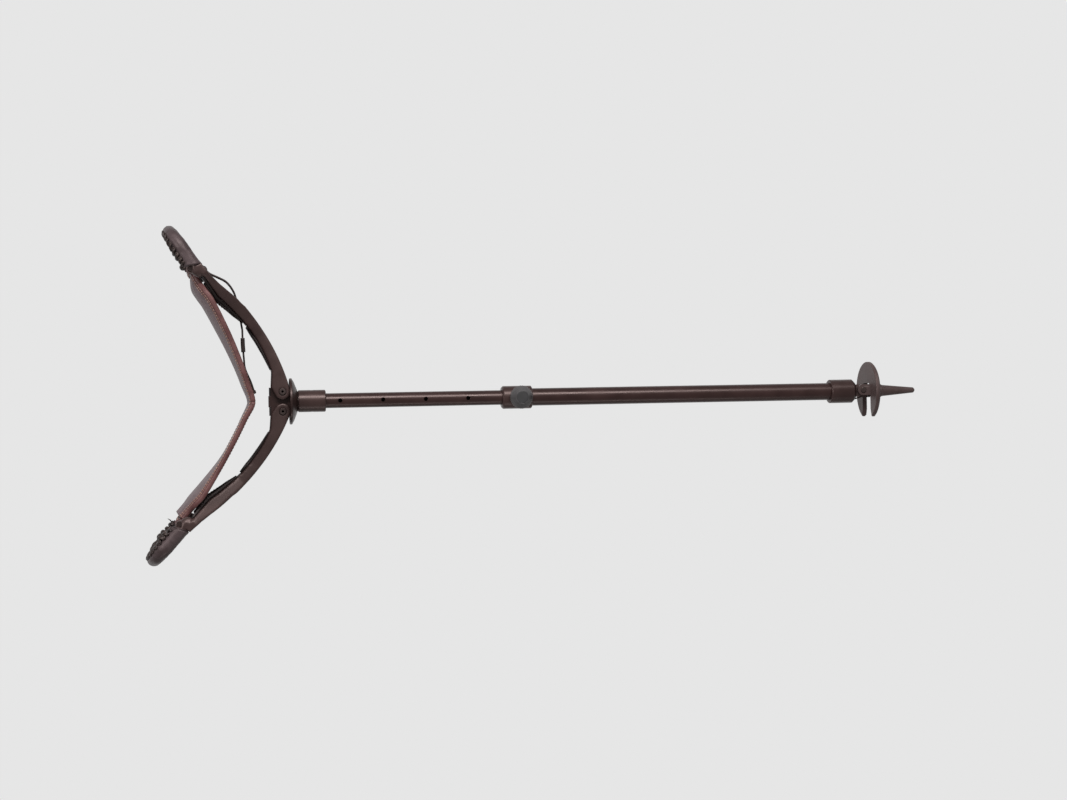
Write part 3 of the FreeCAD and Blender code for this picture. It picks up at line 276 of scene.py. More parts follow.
def madeSurfaces():
    made = {}
    made["tube_paint"] = surface("tubePaint", "paint", dict(
        paintLook, dark=(0.016, 0.0072, 0.0066), light=(0.024, 0.0112, 0.0104), rubAndCreaseTone=(0.07, 0.043, 0.038)))
    made["arm_paint"] = surface("armPaint", "paint", dict(
        paintLook, dark=(0.026, 0.0150, 0.0140), light=(0.038, 0.0225, 0.0210), rubAndCreaseTone=(0.09, 0.065, 0.056),
        rough=0.42, bump=0.15, depth=0.00008))
    made["fitting_paint"] = surface("fittingPaint", "paint", dict(
        paintLook, dark=(0.020, 0.0105, 0.0098), light=(0.030, 0.0165, 0.0152), rubAndCreaseTone=(0.09, 0.057, 0.05)))
    # the dish has the fittings' paint, darkened here as painted shade for the arms' shadow over it
    made["dish_painted_shade"] = surface("dishPaintedShade", "paint", dict(
        paintLook, dark=(0.010, 0.0048, 0.0044), light=(0.016, 0.0080, 0.0074), rubAndCreaseTone=(0.05, 0.03, 0.027)))
    made["spike_steel"] = surface("spikeSteel", "paint", dict(
        paintLook, dark=(0.040, 0.026, 0.025), light=(0.058, 0.040, 0.039), rubAndCreaseTone=(0.20, 0.165, 0.155),
        rough=0.45, rubAndCreaseShare=0.3, bump=0.15, depth=0.00008))
    made["knob_dark"] = surface("knobDark", "paint", dict(
        paintLook, dark=(0.022, 0.021, 0.022), light=(0.032, 0.031, 0.032), rubAndCreaseTone=(0.15, 0.14, 0.14),
        rubAndCreaseShare=0.25,
        glint=(1.0, 0.97, 0.96)))
    made["knob_ribs"] = surface("knobRibs", "paint", dict(
        paintLook, dark=(0.075, 0.070, 0.072), light=(0.130, 0.124, 0.126), rubAndCreaseTone=(0.30, 0.29, 0.29), rubAndCreaseShare=0.4,
        glint=(1.0, 0.97, 0.96), metal=0.5, rough=0.32, softEdge=0.00015))
    made["bright_steel"] = surface("brightSteel", "paint", dict(
        paintLook, dark=(0.11, 0.085, 0.08), light=(0.17, 0.14, 0.135), rubAndCreaseTone=(0.3, 0.27, 0.25),
        metal=0.9, rough=0.4))
    made["pin_steel"] = surface("pinSteel", "paint", dict(
        paintLook, dark=(0.040, 0.028, 0.026), light=(0.066, 0.050, 0.047), rubAndCreaseTone=(0.25, 0.22, 0.2),
        metal=0.6, rough=0.38))
    made["buffer_rubber"] = surface("bufferRubber", "paint", dict(
        paintLook, dark=(0.006, 0.006, 0.006), light=(0.011, 0.010, 0.010), rubAndCreaseTone=(0.03, 0.03, 0.03),
        rough=0.7))
    made["liner_nylon"] = surface("linerNylon", "paint", dict(
        paintLook, dark=(0.012, 0.010, 0.010), light=(0.02, 0.017, 0.017), rubAndCreaseTone=(0.05, 0.045, 0.045),
        rough=0.5))
    made["grip_leather"] = surface("gripLeather", "leather", dict(
        leatherLook, dark=(0.030, 0.020, 0.0205), light=(0.056, 0.040, 0.042), rubAndCreaseTone=(0.010, 0.006, 0.006),
        rough=0.46))
    made["thong_leather"] = surface("thongLeather", "leather", dict(
        leatherLook, dark=(0.008, 0.0052, 0.0048), light=(0.022, 0.0150, 0.0130), rubAndCreaseTone=(0.004, 0.003, 0.003),
        scale=1.6,
        rough=0.4))
    made["guard_leather"] = surface("guardLeather", "leather", dict(
        leatherLook, dark=(0.004, 0.0032, 0.003), light=(0.0085, 0.0068, 0.006), rubAndCreaseTone=(0.002, 0.0015, 0.0015),
        rough=0.55))
    made["seat_leather"] = surface("seatLeather", "leather", dict(
        leatherLook, dark=(0.060, 0.034, 0.038), light=(0.098, 0.062, 0.068), rubAndCreaseTone=(0.034, 0.017, 0.018),
        rough=0.5, bump=0.3, sheen=0.04, rubAndCreaseShare=0.5))
    made["seat_edge"] = surface("seatEdge", "leather", dict(
        leatherLook, dark=(0.060, 0.022, 0.021), light=(0.100, 0.042, 0.040), rubAndCreaseTone=(0.026, 0.009, 0.009),
        rough=0.5, bump=0.35, rubAndCreaseShare=0.5))
    made["strap_leather"] = surface("strapLeather", "leather", dict(
        leatherLook, dark=(0.010, 0.007, 0.0065), light=(0.020, 0.014, 0.013), rubAndCreaseTone=(0.005, 0.004, 0.004)))
    made["thread"] = surface("tanThread", "leather", dict(
        leatherLook, dark=(0.24, 0.135, 0.10), light=(0.34, 0.22, 0.17), rubAndCreaseTone=(0.14, 0.08, 0.06),
        rough=0.6, scale=3.0))
    made["grey_thread"] = surface("greyThread", "leather", dict(
        leatherLook, dark=(0.07, 0.06, 0.055), light=(0.12, 0.105, 0.10), rubAndCreaseTone=(0.04, 0.035, 0.035),
        rough=0.6, scale=3.0))
    return made


surfaces = madeSurfaces()
for part in frame["record"]["subparts"]:
    node = nodes[part["node"]]
    node.data.materials.clear()
    node.data.materials.append(surfaces[part["material_slot"]])
nodes["lock_knob"].data.materials[0] = surfaces["knob_ribs"]  # its ribs are rubbed bright, its cap stays dark
print("materials")


# Mesh helpers

def newPiece(name, mesh, look, body, smooth=True):
    piece = bpy.data.objects.new(name, mesh)
    bpy.context.scene.collection.objects.link(piece)
    mesh.materials.append(surfaces[look])
    if smooth:
        mesh.shade_smooth()
    if body:
        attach(piece, body)
    return piece


def ringsToMesh(name, rings, closedPath=False):
    # skins a list of equal rings of points and caps both ends
    mesh = bpy.data.meshes.new(name)
    size = len(rings[0])
    points = [point for ring in rings for point in ring]
    faces = []
    spans = len(rings) if closedPath else len(rings) - 1
    for k in range(spans):
        first, second = k * size, ((k + 1) % len(rings)) * size
        for j in range(size):
            following = (j + 1) % size
            faces.append((first + j, first + following, second + following, second + j))
    if not closedPath:
        faces.append(tuple(range(size - 1, -1, -1)))
        faces.append(tuple(range((len(rings) - 1) * size, len(rings) * size)))
    mesh.from_pydata([point * mm for point in points], [], faces)
    tidyNormals(mesh)
    return mesh


def tidyNormals(mesh):
    work = bmesh.new()
    work.from_mesh(mesh)
    bmesh.ops.recalc_face_normals(work, faces=work.faces)
    work.to_mesh(mesh)
    work.free()


def roundSection(radius, count, flatten=1.0):
    return [(radius * math.cos(2 * math.pi * k / count), radius * flatten * math.sin(2 * math.pi * k / count))
            for k in range(count)]


def stripSection(width, thick, edge, steps=3):
    # a flat strip's section with rounded edges: first coordinate across, second through
    points = []
    corners = ((1, 1, 0), (-1, 1, 90), (-1, -1, 180), (1, -1, 270))
    for sideX, sideY, start in corners:
        for k in range(steps + 1):
            turn = math.radians(start + 90 * k / steps)
            points.append((sideX * (width / 2 - edge) + edge * math.cos(turn),
                           sideY * (thick / 2 - edge) + edge * math.sin(turn)))
    return points


def sweepRings(frames, section, endShrink=0.0):
    # frames are (point, across, through); the end rings can be drawn in a little
    rings = []
    last = len(frames) - 1
    for k, (point, across, through) in enumerate(frames):
        share = 1 - endShrink if k in (0, last) else 1
        rings.append([point + across * (x * share) + through * (y * share) for x, y in section])
    return rings


def joinMeshes(name, meshes):
    work = bmesh.new()
    for mesh in meshes:
        work.from_mesh(mesh)
        bpy.data.meshes.remove(mesh)
    joined = bpy.data.meshes.new(name)
    work.to_mesh(joined)
    work.free()
    return joined


def curvePoints(controls, steps, lead=None):
    # a smooth line through control tuples of any length, by Catmull-Rom pieces; lead sets how it sets off
    padded = [lead or controls[0]] + list(controls) + [controls[-1]]
    line = []
    for k in range(1, len(padded) - 2):
        before, start, stop, after = padded[k - 1:k + 3]
        for step in range(steps):
            t = step / steps
            line.append(tuple(
                0.5 * (2 * b + (c - a) * t + (2 * a - 5 * b + 4 * c - d) * t * t
                       + (3 * b - a - 3 * c + d) * t ** 3)
                for a, b, c, d in zip(before, start, stop, after)))
    line.append(tuple(controls[-1]))
    return line


def evenPoints(points, spacing):
    # the same polyline stepped at an even spacing
    total = sum((b - a).length for a, b in zip(points, points[1:]))
    count = max(1, round(total / spacing))
    step = total / count
    even = [points[0]]
    walked = 0.0
    target = step
    for a, b in zip(points, points[1:]):
        length = (b - a).length
        while walked + length >= target - 1e-6 and len(even) < count:
            even.append(a.lerp(b, (target - walked) / length))
            target += step
        walked += length
    even.append(points[-1])
    return even


# one stitch from end to end: place along it, thickness and lift
stitchShape = ((-0.5, 0.25, -0.6), (-0.34, 0.85, 0.1), (0, 1.0, 0.35), (0.34, 0.85, 0.1), (0.5, 0.25, -0.6))


def stitchRow(points, outward, length, radius):
    # thread stitches lying along a line of points, each a small rounded bar sunk by half
    rows = []
    for k in range(len(points) - 1):
        start, stop = points[k], points[k + 1]
        along = (stop - start).normalized()
        out = outward[k]
        side = along.cross(out).normalized()
        middle = (start + stop) / 2
        rings = []
        for share, size, lift in stitchShape:
            centre = middle + along * (length * share) + out * (radius * lift)
            thick = radius * size
            rings.append([centre + side * (x * thick) + out * (y * thick) for x, y in roundSection(1.0, 6)])
        rows.append(ringsToMesh("stitch", rings))
    return rows


# Arms: their own frames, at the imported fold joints

openAngle = {"a": 56.4, "b": 48.7}
armPivot = {}
for joint in frame["joints"]:
    if joint["name"].startswith("arm_"):
        armPivot[joint["name"][4]] = Vector(joint["pos_m"]) / mm


def armMatrix(side):
    turn = Matrix.Rotation(math.radians(openAngle[side]), 4, "Y")
    if side == "b":
        turn = Matrix.Rotation(-math.radians(openAngle[side]), 4, "Y") @ Matrix.Rotation(math.pi, 4, "Z")
    return Matrix.Translation(armPivot[side]) @ turn


def armPoint(side, x, y, z):
    return armMatrix(side) @ Vector((x, y, z))


# A softened copy of a rigid or leather solid: joined facets, rounded edges

def softCopy(nodeName, name, look, body, edge, segments=2, sharp=28.0):
    work = bmesh.new()
    work.from_mesh(nodes[nodeName].data)
    bmesh.ops.remove_doubles(work, verts=work.verts, dist=2e-6)
    bmesh.ops.dissolve_limit(work, angle_limit=math.radians(0.6), verts=work.verts, edges=work.edges)
    crisp = [e for e in work.edges if len(e.link_faces) == 2 and e.calc_face_angle(0) > math.radians(sharp)]
    bmesh.ops.bevel(work, geom=crisp, offset=edge * mm, offset_type="OFFSET", segments=segments, profile=0.5,
                    affect="EDGES", clamp_overlap=True)
    bmesh.ops.recalc_face_normals(work, faces=work.faces)
    mesh = bpy.data.meshes.new(name)
    work.to_mesh(mesh)
    work.free()
    piece = newPiece(name, mesh, look, body)
    mesh.set_sharp_from_angle(angle=math.radians(40))
    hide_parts(nodeName)
    return piece


# Arm castings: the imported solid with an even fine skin, its edges worn round, its fork drawn to slender legs

casting = {
    "skin": 1.0, "rounds": 16, "from": 96.0, "to": 164.0, "step": 2.0, "loopReach": 24.0,
    "outer": {
        "a": [(96, 18.0), (106, 16.9), (118, 13.5), (130, 9.8), (142, 7.1), (150, 6.1), (158, 5.9), (164, 6.2)],
        "b": [(96, 18.3), (106, 16.9), (118, 15.0), (130, 12.2), (142, 9.5), (150, 8.0), (158, 7.0), (164, 6.8)]},
    "innerShift": [(8, 0.0), (24, -2.2), (62, -2.0), (98, -1.7), (118, 0.0)]}


def along(table, place):
    # the value at a place, straight between the table's rows
    if place <= table[0][0]:
        return table[0][1]
    for (low, first), (high, second) in zip(table, table[1:]):
        if place <= high:
            return first + (second - first) * (place - low) / (high - low)
    return table[-1][1]


def skinned(nodeName, skin, rounds):
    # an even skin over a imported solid, its edges rounded by smoothing
    work = bmesh.new()
    work.from_mesh(nodes[nodeName].data)
    bmesh.ops.remove_doubles(work, verts=work.verts, dist=2e-6)
    rough = bpy.data.meshes.new("rough")
    work.to_mesh(rough)
    work.free()
    blank = bpy.data.objects.new("blank", rough)
    bpy.context.scene.collection.objects.link(blank)
    cover = blank.modifiers.new("cover", "REMESH")
    cover.mode = "VOXEL"
    cover.voxel_size = skin * mm
    soften = blank.modifiers.new("soften", "SMOOTH")
    soften.factor = 0.5
    soften.iterations = rounds
    bpy.context.view_layer.update()
    made = blank.evaluated_get(bpy.context.evaluated_depsgraph_get())
    mesh = bpy.data.meshes.new_from_object(made)
    bpy.data.objects.remove(blank)
    bpy.data.meshes.remove(rough)
    return mesh


def buildCasting(side):
    mesh = skinned("arm_frame_" + side, casting["skin"], casting["rounds"])
    mesh.name = "armCasting_" + side
    mesh.materials.clear()
    matrix = armMatrix(side)
    inverse = matrix.inverted()
    places = [inverse @ (v.co / mm) for v in mesh.vertices]
    slices = {}
    for place in places:
        if place.x < casting["loopReach"]:
            key = round(place.z / casting["step"])
            low, high = slices.get(key, (place.x, place.x))
            slices[key] = (min(low, place.x), max(high, place.x))
    inner = [(key * casting["step"], slices[key][0]) for key in sorted(slices)]
    outer = [(key * casting["step"], slices[key][1]) for key in sorted(slices)]
    for vertex, place in zip(mesh.vertices, places):
        low, high = along(inner, place.z), along(outer, place.z)
        share = min(1.0, max(0.0, (place.x - low) / max(1.0, high - low)))
        place.x += along(casting["innerShift"], place.z) * (1 - share)
        if casting["from"] < place.z < casting["to"]:
            wanted = along(casting["outer"][side], place.z)
            ease = min(1.0, (place.z - casting["from"]) / 6, (casting["to"] - place.z) / 3)
            place.x += (wanted - high) * share * ease
        vertex.co = (matrix @ place) * mm
    arm = newPiece("armCasting_" + side, mesh, "arm_paint", "arm_" + side)
    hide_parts("arm_frame_" + side)


# Hand loops: leather sleeve, seam and thong lacing

loop = {"half": 44.0, "top": 206.4, "x": -1.9, "corner": 22.0, "crown": 90.0, "sleeveStart": 164.0,
        "sleeveRadius": {"a": 7.8, "b": 8.3}, "laceStart": 167.5, "lacePitch": 5.6, "laceSpan": 44.0,
        "laceHigh": {"a": (2.2, 1.2), "b": (2.7, 1.7)}, "flatFrom": 188.0, "flatOver": 18.0, "slant": 7.5,
        "sleeveStep": 1.4, "flatDrop": 1.2, "ridge": 0.9, "valley": 0.5, "pull": 0.22, "endRoll": 0.5,
        "laceWide": 2.9, "laceThick": 1.7, "knot": 2.1, "looseEnd": {"a": 3.6, "b": 6.4}}


def loopLine(start):
    # centre line in the arm's frame, from the front leg's foot over the crown to the back leg's foot
    half, top, crown, corner = loop["half"], loop["top"], loop["crown"], loop["corner"]
    crownZ = top - crown
    cornerY = half - corner
    cornerZ = crownZ + math.sqrt((crown - corner) ** 2 - cornerY ** 2)
    lean = math.atan2(cornerY, cornerZ - crownZ)
    points = [Vector((loop["x"], -half, start)), Vector((loop["x"], -half, cornerZ))]
    for k in range(1, 25):
        turn = math.radians(90) - (math.radians(90) - lean) * k / 24
        y = -cornerY - corner * math.sin(turn)
        points.append(Vector((loop["x"], y, cornerZ + corner * math.cos(turn))))
    for k in range(1, 33):
        turn = lean - 2 * lean * k / 32
        points.append(Vector((loop["x"], -crown * math.sin(turn), crownZ + crown * math.cos(turn))))
    for k in range(1, 25):
        turn = lean + (math.radians(90) - lean) * k / 24
        y = cornerY + corner * math.sin(turn)
        points.append(Vector((loop["x"], y, cornerZ + corner * math.cos(turn))))
    points.append(Vector((loop["x"], half, start)))
    return points


def loopFrames(side, start, spacing):
    # (centre, inward across, towards the sitting side) at even steps, in the row frame
    points = evenPoints(loopLine(start), spacing)
    matrix = armMatrix(side)
    turn = matrix.to_3x3()
    frames = []
    for k, point in enumerate(points):
        tangent = (points[min(k + 1, len(points) - 1)] - points[max(k - 1, 0)]).normalized()
        sitting = Vector((-1, 0, 0))
        frames.append((matrix @ point, turn @ tangent, turn @ tangent.cross(sitting), turn @ sitting))
    return frames


def crownShare(side, centre):
    # 0 along the loop's legs, rising to 1 over its crown, where leather and lacing lie flatter
    high = (armMatrix(side).inverted() @ centre).z
    return min(1.0, max(0.0, (high - loop["flatFrom"]) / loop["flatOver"]))


def buildSleeve(side):
    body = "arm_" + side
    ringSize = 40
    rings = []
    frames = loopFrames(side, loop["sleeveStart"], loop["sleeveStep"])
    last = len(frames) - 1
    for k, (centre, tangent, across, sitting) in enumerate(frames):
        ring = []
        radius = loop["sleeveRadius"][side] - loop["flatDrop"] * crownShare(side, centre)
        # the foot is cut at a slant and reaches lower on the outer side
        toFoot = tangent * (1 if k > last / 2 else -1) * loop["slant"] * max(0.0, 1 - min(k, last - k) / 9)
        endRoll = loop["endRoll"] * math.exp(-(min(k, last - k) / 1.2) ** 2)
        pull = loop["pull"] * math.cos(2 * math.pi * k * loop["sleeveStep"] / loop["lacePitch"])
        for j in range(ringSize):
            turn = 2 * math.pi * j / ringSize
            fromSeam = min(turn, 2 * math.pi - turn)
            # the butted edges of the sleeve stand up along the seam, drawn in at each stitch
            ridge = loop["ridge"] * math.exp(-((fromSeam - 0.16) / 0.13) ** 2)
            valley = -loop["valley"] * math.exp(-(fromSeam / 0.06) ** 2)
            near = math.exp(-(fromSeam / 0.8) ** 2)
            out = sitting * math.cos(turn) + across * math.sin(turn)
            spot = centre + out * radius
            wrinkle = 0.32 * noise.noise(spot * 0.22) + 0.12 * noise.noise(spot * 0.9)
            size = radius - 0.25 + ridge + valley + pull * near + wrinkle + endRoll
            ring.append(centre + out * size + toFoot * (0.5 - 0.5 * math.cos(turn)))
        rings.append(ring)
    first, end = frames[0], frames[last]
    for frameEnd, at in ((first, 0), (end, len(rings))):
        centre, tangent = frameEnd[0], frameEnd[1]
        sign = -1 if at == 0 else 1
        source = rings[0] if at == 0 else rings[-1]
        inner = [centre + (point - centre) * 0.74 + tangent * (sign * 0.1) for point in source]
        rings.insert(at, inner)
    sleeve = newPiece("gripSleeve_" + side, ringsToMesh("gripSleeve_" + side, rings), "grip_leather", body)
    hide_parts("grip_leather_" + side)


def buildLacing(side):
    # slanted thong stitches over the seam, each pulled tight at both edges and standing up between
    body = "arm_" + side
    radius = loop["sleeveRadius"][side]
    halfSpan = math.radians(loop["laceSpan"])
    frames = loopFrames(side, loop["laceStart"], loop["lacePitch"] / 8)
    perStitch = 8
    meshes = []
    count = (len(frames) - 1) // perStitch
    for stitch in range(count):
        # no two stitches of the hand lacing are pulled alike
        pulled = noise.noise(Vector((stitch * 0.83, 2.7 if side == "a" else 8.1, 0.4)))
        flat = crownShare(side, frames[stitch * perStitch][0])
        for layer in range(2):
            path = []
            slant = 1 if layer == 0 else -1
            steps = 10
            high = loop["laceHigh"][side][layer] * (1 + 1.2 * pulled) * (1 - 0.7 * flat)
            for step in range(steps + 1):
                share = step / steps
                place = stitch * perStitch + (share if slant > 0 else 1 - share) * perStitch
                low = min(int(place), len(frames) - 2)
                mix = min(place - low, 1.0)
                centre = frames[low][0].lerp(frames[low + 1][0], mix)
                across = frames[low][2].lerp(frames[low + 1][2], mix).normalized()
                sitting = frames[low][3]
                turn = halfSpan * (2 * share - 1)
                out = sitting * math.cos(turn) + across * math.sin(turn)
                swell = math.cos(turn / halfSpan * math.pi / 2)
                jitter = 0.25 * noise.noise(Vector((stitch * 1.7, layer * 3.1, share * 2)))
                lift = radius - 0.3 - loop["flatDrop"] * flat + high * swell ** 0.6 + jitter
                path.append((centre + out * lift, out))
            rings = []
            section = stripSection(loop["laceWide"] + 0.9 * pulled, loop["laceThick"], 0.75, 2)
            for k, (point, out) in enumerate(path):
                tangent = (path[min(k + 1, steps)][0] - path[max(k - 1, 0)][0]).normalized()
                wide = tangent.cross(out).normalized()
                through = wide.cross(tangent).normalized()
                share = 0.55 if k in (0, steps) else 1
                rings.append([point + wide * (x * share) + through * (y * share) for x, y in section])
            meshes.append(ringsToMesh("lace", rings))
    # the thong's knot and short loose end at the front leg's foot
    centre, tangent, across, sitting = frames[0]
    knotAt = centre + sitting * (radius + 1.2)
    for turnStart in (0.0, 1.1):
        ringPoints = []
        for k in range(14):
            turn = 2 * math.pi * k / 14
            wide = across * math.cos(turn + turnStart) + tangent * (math.sin(turn + turnStart) * 0.7)
            spot = knotAt + wide * loop["knot"] + sitting * (0.5 * math.sin(2 * turn))
            ringPoints.append((spot, wide.normalized()))
        round8 = roundSection(0.95, 8)
        rings = [[point + out * x + sitting * y for x, y in round8] for point, out in ringPoints]
        meshes.append(ringsToMesh("knot", rings, True))
    loose = loop["looseEnd"][side]
    tail = [knotAt, knotAt + sitting * (loose / 2) - tangent * 0.8, knotAt + sitting * loose - tangent * 0.4]
    rings = []
    for k, point in enumerate(tail):
        size = (1.0, 0.9, 0.35)[k]
        flatEnd = roundSection(1.2, 8, 0.6)
        rings.append([point + across * (x * size) + tangent * (y * size) for x, y in flatEnd])
    meshes.append(ringsToMesh("looseEnd", rings))
    lacing = newPiece("gripLacing_" + side, joinMeshes("gripLacing_" + side, meshes), "thong_leather", body)
    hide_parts("grip_lacing_" + side)


# Leather sling: stations from the fold over the head to the hem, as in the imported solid

sling = {"foldZ": 691.0, "half": 48.0, "hemHalf": 36.0, "thick": 4.6, "touch": 118.0, "under": -4.5,
         "end": 153.0, "threadIn": (2.0, 5.9), "threadStep": 3.4, "threadLong": 2.4, "threadRadius": 0.34,
         "band": 8.0, "bandOver": 0.6, "sag": {"a": 3.6, "b": 2.0}, "foldCrown": 3.6,
         "near": {"a": 6.0, "b": 0.8}, "far": {"a": 8.2, "b": 3.4}, "touchCrown": {"a": 10.2, "b": 9.0},
         "endCrown": {"a": 3.4, "b": 8.0}}


def slingStations(side, steps=7):
    # each station: foot on the line between the edges, lift direction, half width and crown
    fold = Vector((0, 0, sling["foldZ"]))
    touch = armPoint(side, sling["under"], 0, sling["touch"])
    chord = touch - fold
    sag = sling["sag"][side]
    rows = [(fold.x, fold.z, sling["half"], sling["foldCrown"])]
    near, far = sling["near"][side], sling["far"][side]
    first = sling["foldCrown"] * 0.4 + near * 0.6
    for share, crown in ((0.2, first), (0.42, near * 0.74 + far * 0.26), (0.68, far)):
        foot = fold + chord * share - up * (4 * sag * share * (1 - share))
        rows.append((foot.x, foot.z, sling["half"], crown))
    reach = sling["end"] - sling["touch"]
    touchCrown = sling["touchCrown"][side]
    for share, half, crown in (
            (0.0, sling["half"], touchCrown), (0.4, sling["half"] * 0.95, touchCrown),
            (0.7, sling["half"] * 0.2 + sling["hemHalf"] * 0.8, touchCrown * 0.9),
            (1.0, sling["hemHalf"], sling["endCrown"][side])):
        foot = armPoint(side, sling["under"], 0, sling["touch"] + reach * share)
        rows.append((foot.x, foot.z, half, crown))
    # the other half mirrors this one at the fold, so the leather goes round it in one bend
    x, z, half, crown = rows[1]
    line = curvePoints(rows, steps, (-x, z, half, crown))
    stations = []
    for k, (x, z, half, crown) in enumerate(line):
        ahead = line[min(k + 1, len(line) - 1)]
        behind = line[max(k - 1, 0)]
        forward = Vector((ahead[0] - behind[0], 0, ahead[1] - behind[1])).normalized()
        if k == 0:
            forward = Vector((1 if side == "a" else -1, 0, 0))
        lift = forward.cross(acrossY)
        if lift.z < 0:
            lift = -lift
        stations.append((Vector((x, 0, z)), lift, half, crown))
    return stations


def slingSurface(station, y, over):
    # a point over the arched line across one station; over is 0 on the underside
    foot, lift, half, crown = station
    return foot + acrossY * y + lift * (crown * (1 - (y / half) ** 2) + over)


def buildSling(side):
    stations = slingStations(side)
    thick = sling["thick"]
    columns = 30
    rings = []
    for k, station in enumerate(stations):
        half = station[2] - 0.4
        share = k / (len(stations) - 1)
        ring = []
        for j in range(columns + 1):
            y = -half + 2 * half * j / columns
            gather = 0.5 * share ** 6 * math.sin(y * 0.55 + 1.0) + 0.25 * share ** 3 * math.sin(y * 0.21)
            crease = 0.5 * noise.noise(Vector((station[0].x * 0.02, y * 0.035, 4.0 if side == "a" else 9.0)))
            ring.append(slingSurface(station, y, thick - 0.6 + gather + crease))
        for j in range(columns + 1):
            y = half - 2 * half * j / columns
            ring.append(slingSurface(station, y, 0.6))
        rings.append(ring)
    mesh = ringsToMesh("slingHalf_" + side, rings)
    piece = newPiece("slingHalf_" + side, mesh, "seat_leather", None)
    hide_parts("seat_leather_" + side)
    edges = []
    threads = []
    for sign in (-1, 1):
        edges.append(slingBand(stations, sign))
        threads += slingThreads(stations, sign)
    band = newPiece("slingBand_" + side, joinMeshes("slingBand_" + side, edges), "seat_edge", None)
    thread = newPiece("slingThread_" + side, joinMeshes("slingThread_" + side, threads), "thread", None)
    for item in (piece, band, thread):
        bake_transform(item)


def slingBand(stations, sign):
    # the bound edge: leather turned round the sling's edge, thinner towards its inner line
    rings = []
    for station in stations:
        half = station[2]
        ring = []
        for k in range(7):
            y = half - sling["band"] + (sling["band"] - 1.4) * k / 6
            ring.append((y, sling["thick"] - 0.4 + sling["bandOver"] * min(1, k / 1.5 + 0.3)))
        middle = sling["thick"] / 2
        reach = middle + sling["bandOver"] - 0.2
        for k in range(1, 8):
            turn = math.radians(90 - 180 * k / 8)
            ring.append((half - 1.4 + 1.9 * math.cos(turn), middle + reach * math.sin(turn)))
        for k in range(7):
            y = half - 1.4 - (sling["band"] - 1.4) * k / 6
            ring.append((y, 0.4 - sling["bandOver"] * min(1, (6 - k) / 1.5 + 0.3)))
        rings.append([slingSurface(station, sign * min(y, half), over) + acrossY * (sign * max(0.0, y - half))
                      for y, over in ring])
    return ringsToMesh("band", rings)


def slingThreads(stations, sign):
    rows = []
    for inset in sling["threadIn"]:
        for over, facing in ((sling["thick"] + sling["bandOver"] - 0.35, 1), (-sling["bandOver"] + 0.35, -1)):
            line = [slingSurface(s, sign * (s[2] - inset), over) for s in stations]
            even = evenPoints(line, sling["threadStep"])
            outward = []
            for point in even[:-1]:
                nearest = min(stations, key=lambda s: (s[0] - Vector((point.x, 0, point.z))).length)
                outward.append(nearest[1] * facing)
            rows += stitchRow(even, outward, sling["threadLong"], sling["threadRadius"])
    return rows


hem = {"x": -6.5, "z": 158.6, "radius": 5.1, "half": 36.0, "threadTurns": (205, 335), "threadLong": 2.5,
       "threadRadius": 0.42}


def buildHem(side):
    # the sling's hem, turned round the rod and sewn down
    rodX, rodZ, radius, half = hem["x"], hem["z"], hem["radius"], hem["half"]
    rings = []
    steps = 34
    for k in range(steps + 1):
        y = -half + 2 * half * k / steps
        ring = []
        for j in range(28):
            turn = 2 * math.pi * j / 28
            out = Vector((math.cos(turn), 0, math.sin(turn)))
            # drawn towards the sling on its lower side, with soft puckers across
            pointed = 0.9 * math.exp(-((turn - 1.5 * math.pi) / 0.55) ** 2)
            pucker = 0.28 * noise.noise(Vector((y * 0.16, turn * 1.2, 2.0 if side == "a" else 6.0)))
            size = radius - 0.15 + pointed + pucker
            if k in (0, steps):
                size *= 0.86
            ring.append(armPoint(side, rodX + out.x * size, y, rodZ + out.z * size))
        rings.append(ring)
    turned = newPiece("slingHem_" + side, ringsToMesh("slingHem_" + side, rings), "seat_edge", "arm_" + side)
    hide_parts("seat_hem_" + side)
    threads = []
    for turnAt in hem["threadTurns"]:
        turn = math.radians(turnAt)
        over = radius + 0.1
        line = [armPoint(side, rodX + math.cos(turn) * over, y, rodZ + math.sin(turn) * over)
                for y in range(-34, 35, 2)]
        even = evenPoints(line, 3.6)
        out = armPoint(side, math.cos(turn), 0, math.sin(turn)) - armPoint(side, 0, 0, 0)
        threads += stitchRow(even, [out] * len(even), hem["threadLong"], hem["threadRadius"])
    thread = newPiece("hemThread_" + side, joinMeshes("hemThread_" + side, threads), "thread", "arm_" + side)


# Closing strap on arm A: the bow outside, the tail hanging inside and its keeper

strap = {"half": 5.5, "thick": 1.9, "edge": 0.7,
         "bow": [(7.2, 157.0), (7.3, 151.5), (8.6, 146.0), (13.4, 138.0), (17.2, 131.0), (18.5, 124.0),
                 (18.0, 115.5), (15.4, 107.0), (12.0, 98.0), (8.4, 90.5), (2.7, 78.0)],
         "tail": [(2.7, 78.0), (-5.9, 64.5), (-13.5, 51.5), (-18.4, 42.0), (-21.2, 28.4), (-23.2, 21.0),
                  (-25.1, 14.5)],
         "keeper": [(-2.0, 70.6), (-5.9, 64.5), (-9.7, 58.0)], "keeperOver": (2.6, 2.4),
         "footStud": (7.4, 153.8), "footStudSize": (2.6, 2.0), "endStudSize": (2.1, 1.9)}


def strapFrames(controls, steps):
    line = [Vector((x, 0, z)) for x, z in curvePoints(controls, steps)]
    frames = []
    turn = armMatrix("a").to_3x3()
    for k, point in enumerate(line):
        tangent = (line[min(k + 1, len(line) - 1)] - line[max(k - 1, 0)]).normalized()
        frames.append((armPoint("a", point.x, 0, point.z), turn @ acrossY, turn @ tangent.cross(acrossY)))
    return frames


